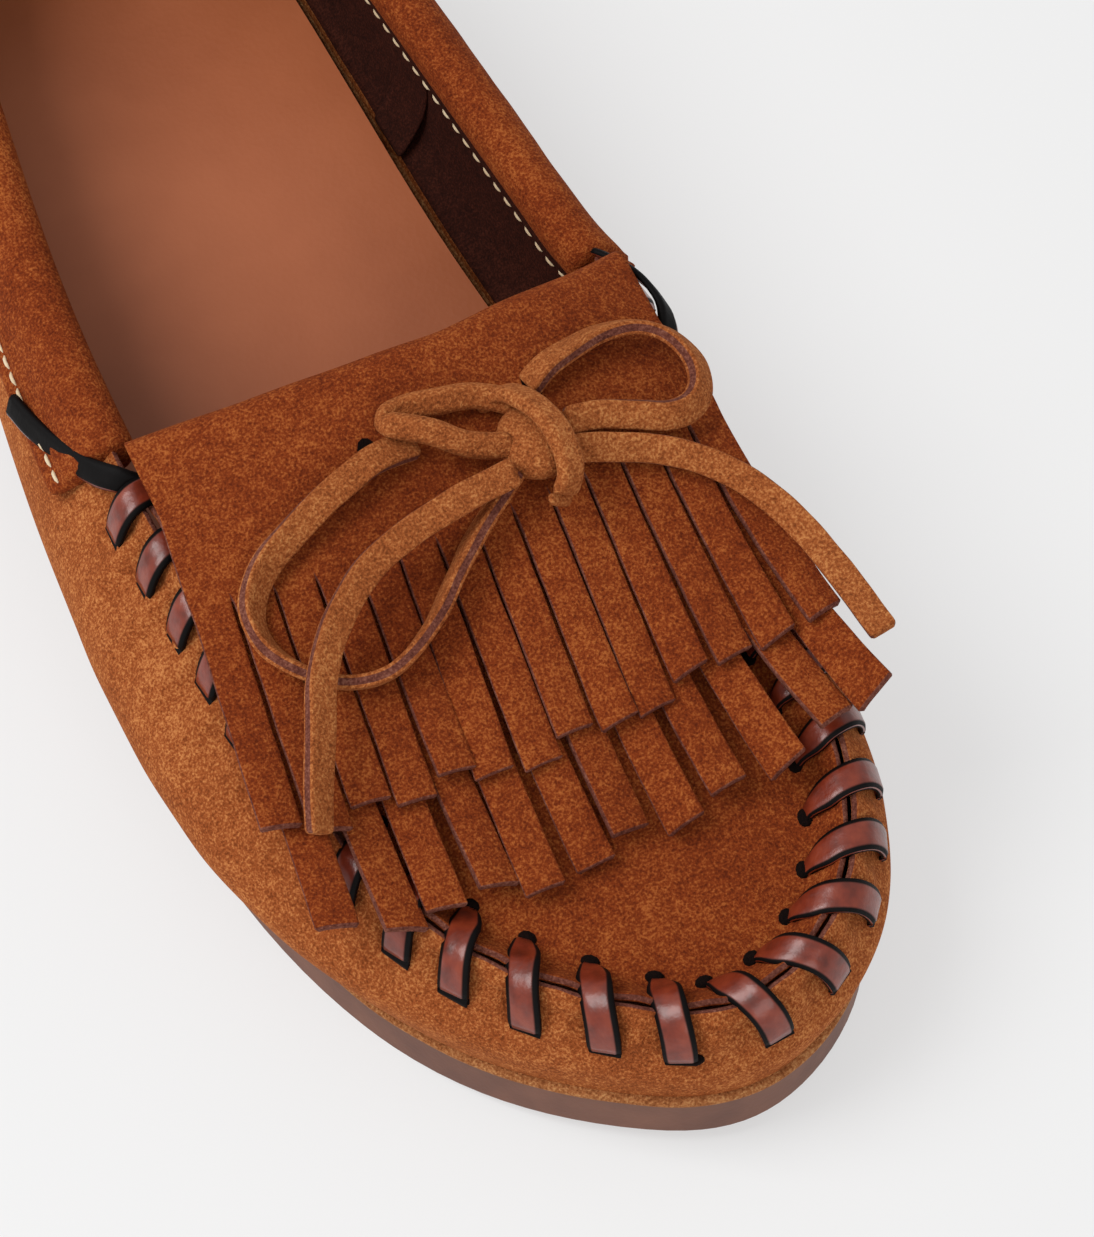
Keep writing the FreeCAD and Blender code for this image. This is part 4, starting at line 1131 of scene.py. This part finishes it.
def swept_strip(line, twist, width, thick, corner=0.16):
    """Points of a flat strip along a line: a rounded rectangle per point.
    twist is the lean of its flat side from level, in radians, one value per point."""
    ahead = np.gradient(line, axis=0)
    ahead /= np.linalg.norm(ahead, axis=1, keepdims=True)
    side = np.cross(ahead, UP)
    side /= np.linalg.norm(side, axis=1, keepdims=True)
    up = np.cross(side, ahead)
    w, h, r = width / 2, thick / 2, corner * thick
    section = []
    for cx, cy, start in ((w - r, h - r, 0), (r - w, h - r, 90), (r - w, r - h, 180), (w - r, r - h, 270)):
        for angle in (0, 45, 90):
            a = math.radians(start + angle)
            section.append((cx + r * math.cos(a), cy + r * math.sin(a)))
    section = np.array(section)
    cos, sin = np.cos(twist)[:, None, None], np.sin(twist)[:, None, None]
    x = section[None, :, :1] * cos - section[None, :, 1:] * sin
    y = section[None, :, :1] * sin + section[None, :, 1:] * cos
    return line[:, None] + side[:, None] * x + up[:, None] * y


BOW_TWISTS = {
    "bow_loop_left": (0.1, 0.9, 1.2, 0.9), "bow_loop_right": (0.3, 0.9, 1.0, 0.5),
    "bow_tail_left": (0.5, 0.5, 0.6, 0.9), "bow_tail_right": (-0.6, -0.6, -0.4, -0.2),
}


def bow():
    """The thong's two loops and two tails, each a flat strip along its own route."""
    for name, route in BOW_ROUTES.items():
        line = resample(route_line(route), 1.1)
        share = np.linspace(0, 1, len(line))
        twist = np.interp(share, np.linspace(0, 1, 4), BOW_TWISTS[name])
        points = swept_strip(line, twist, THONG_WIDE, THONG_THICK)
        points = points + grid_nudge(points, 0.18, 5.0, len(name))
        rows, columns = points.shape[:2]
        thong = piece(name, points.reshape(-1, 3), tube_faces(rows, columns), SUEDE_THONG, UPPER, (name,))
        thong.data.materials.append(CUT_EDGE)
        # the strip's two narrow sides are raw cut edges
        for polygon in thong.data.polygons:
            if polygon.index < (rows - 1) * columns and polygon.index % columns in (5, 11):
                polygon.material_index = 1
        face_out(thong)
        subdivide(thong)


KNOT_MIDDLE = np.array([18.6, -38.6, 54.6])
KNOT_WRAP = [
    (15.6, -28.9, 52.6), (17.3, -29.6, 56.0), (19.3, -33.2, 58.9), (20.9, -38.6, 59.9), (21.3, -43.8, 58.6),
    (20.0, -47.8, 55.4), (17.4, -48.2, 52.4),
]
KNOT_CURL = [
    (20.5, -33.0, 54.6), (13.4, -28.4, 56.6), (7.4, -27.4, 57.2), (1.8, -26.6, 57.2), (-0.6, -28.0, 58.4),
    (1.6, -30.8, 59.2), (5.2, -33.6, 58.8), (9.2, -36.6, 57.4), (15.0, -38.6, 56.2),
]


def faced_strip(path, faces_to, width, thick):
    """Points of a flat strip along a path, its flat side turned to the direction given at each point."""
    ahead = np.gradient(path, axis=0)
    ahead /= np.linalg.norm(ahead, axis=1, keepdims=True)
    across = np.cross(ahead, faces_to)
    points, _ = ribbon(path, across, width, thick, edge=0.4)
    return points


def bow_knot():
    """The two loops' crossing: a rounded lump of thong, the band over it, and the end curled out of it."""
    vertices, faces = [], []

    def add(points):
        rows, columns = points.shape[:2]
        faces.extend(tube_faces(rows, columns, len(vertices)))
        vertices.extend(points.reshape(-1, 3))

    wrap = soft_line(KNOT_WRAP, 26)
    add(faced_strip(wrap, wrap - KNOT_MIDDLE, THONG_WIDE + 0.4, THONG_THICK))
    curl = soft_line(KNOT_CURL, 40)
    share = np.linspace(0, 1, len(curl))[:, None]
    towards = UP * (0.8 - 0.3 * share) + np.array([-0.35, -0.5, 0.0])
    add(faced_strip(curl, towards, THONG_WIDE - 0.3, THONG_THICK))
    turn, polar = np.linspace(0, 2 * math.pi, 14, endpoint=False), np.linspace(0.25, math.pi - 0.25, 9)
    add(np.stack([np.stack([5.6 * np.sin(b) * np.cos(turn), 6.8 * np.sin(b) * np.sin(turn),
                            3.6 * np.cos(b) + 0 * turn], 1) for b in polar]) + KNOT_MIDDLE)
    points = np.array(vertices)
    points = points + grid_nudge(points, 0.25, 5.0, 4.0)
    obj = face_out(piece("bow_knot_thong", points, faces, SUEDE_THONG, UPPER, ("bow_knot",)))
    subdivide(obj)


def thong_slits():
    """Painted shade of the two slits in the upper fringe that the thong comes up through: flat near-black
    patches laid just over the suede.
    """
    vertices, faces = [], []
    for x, y, half_x, half_y in ((-3.6, -29.4, 1.6, 2.6), (23.4, -27.9, 1.5, 2.4)):
        offset = len(vertices)
        for i in range(12):
            a = i / 12 * 2 * math.pi
            spot = np.array([x + half_x * math.cos(a), y + half_y * math.sin(a)])
            vertices.append([*spot, fringe_surface(spot[0], spot[1], UPPER_LIFT) + FLAP_THICK / 2 + 0.02])
        faces.append(tuple(offset + i for i in range(12)))
    obj = piece("thong_slits", np.array(vertices), faces, HOLE_SHADE, UPPER)


shoe()
carried_over()
bow()
bow_knot()
thong_slits()


# ------------------------------------------------------------------------------- camera, floor, light
AIM = Vector(place((22, -36, 0)))
AZIMUTH, ELEVATION, DISTANCE, LENS = -26.0, 58.0, 0.7, 130.0


def camera():
    a, e = math.radians(AZIMUTH), math.radians(ELEVATION)
    back = Vector((math.sin(a) * math.cos(e), -math.cos(a) * math.cos(e), math.sin(e)))
    data = bpy.data.cameras.new("camera")
    data.lens = LENS
    data.sensor_fit = "VERTICAL"
    data.sensor_height = 36.0
    data.clip_start = 0.01
    data.dof.use_dof = False
    obj = bpy.data.objects.new("camera", data)
    obj.location = AIM + back * DISTANCE
    obj.rotation_euler = back.to_track_quat("Z", "Y").to_euler()
    bpy.context.collection.objects.link(obj)
    bpy.context.scene.camera = obj


def soft_box(name, location, target, width, watts, colour=(1, 1, 1)):
    data = bpy.data.lights.new(name, "AREA")
    data.shape = "SQUARE"
    data.size = width
    data.energy = watts
    data.color = colour
    obj = bpy.data.objects.new(name, data)
    obj.location = location
    obj.rotation_euler = (Vector(location) - Vector(target)).to_track_quat("Z", "Y").to_euler()
    bpy.context.collection.objects.link(obj)


def studio():
    bpy.ops.mesh.primitive_plane_add(size=6.0, location=(0, 0, 0))
    floor = bpy.context.object
    floor.name = "studio_floor"
    floor.data.materials.append(plain_stage("studio_paper", "a0a0a0", 0.53))
    soft_box("key_light", (-0.75, 0.25, 1.1), (0, 0, 0), 0.8, 11.0)
    soft_box("front_fill", (-0.2, -1.3, 0.9), (0, 0, 0), 0.9, 4.5)
    world = bpy.data.worlds.new("studio")
    bpy.context.scene.world = world
    world.use_nodes = True
    background = world.node_tree.nodes["Background"]
    background.inputs["Color"].default_value = (1.0, 1.0, 1.0, 1.0)
    background.inputs["Strength"].default_value = 0.5
    bpy.context.scene.view_settings.view_transform = "Standard"


camera()
studio()
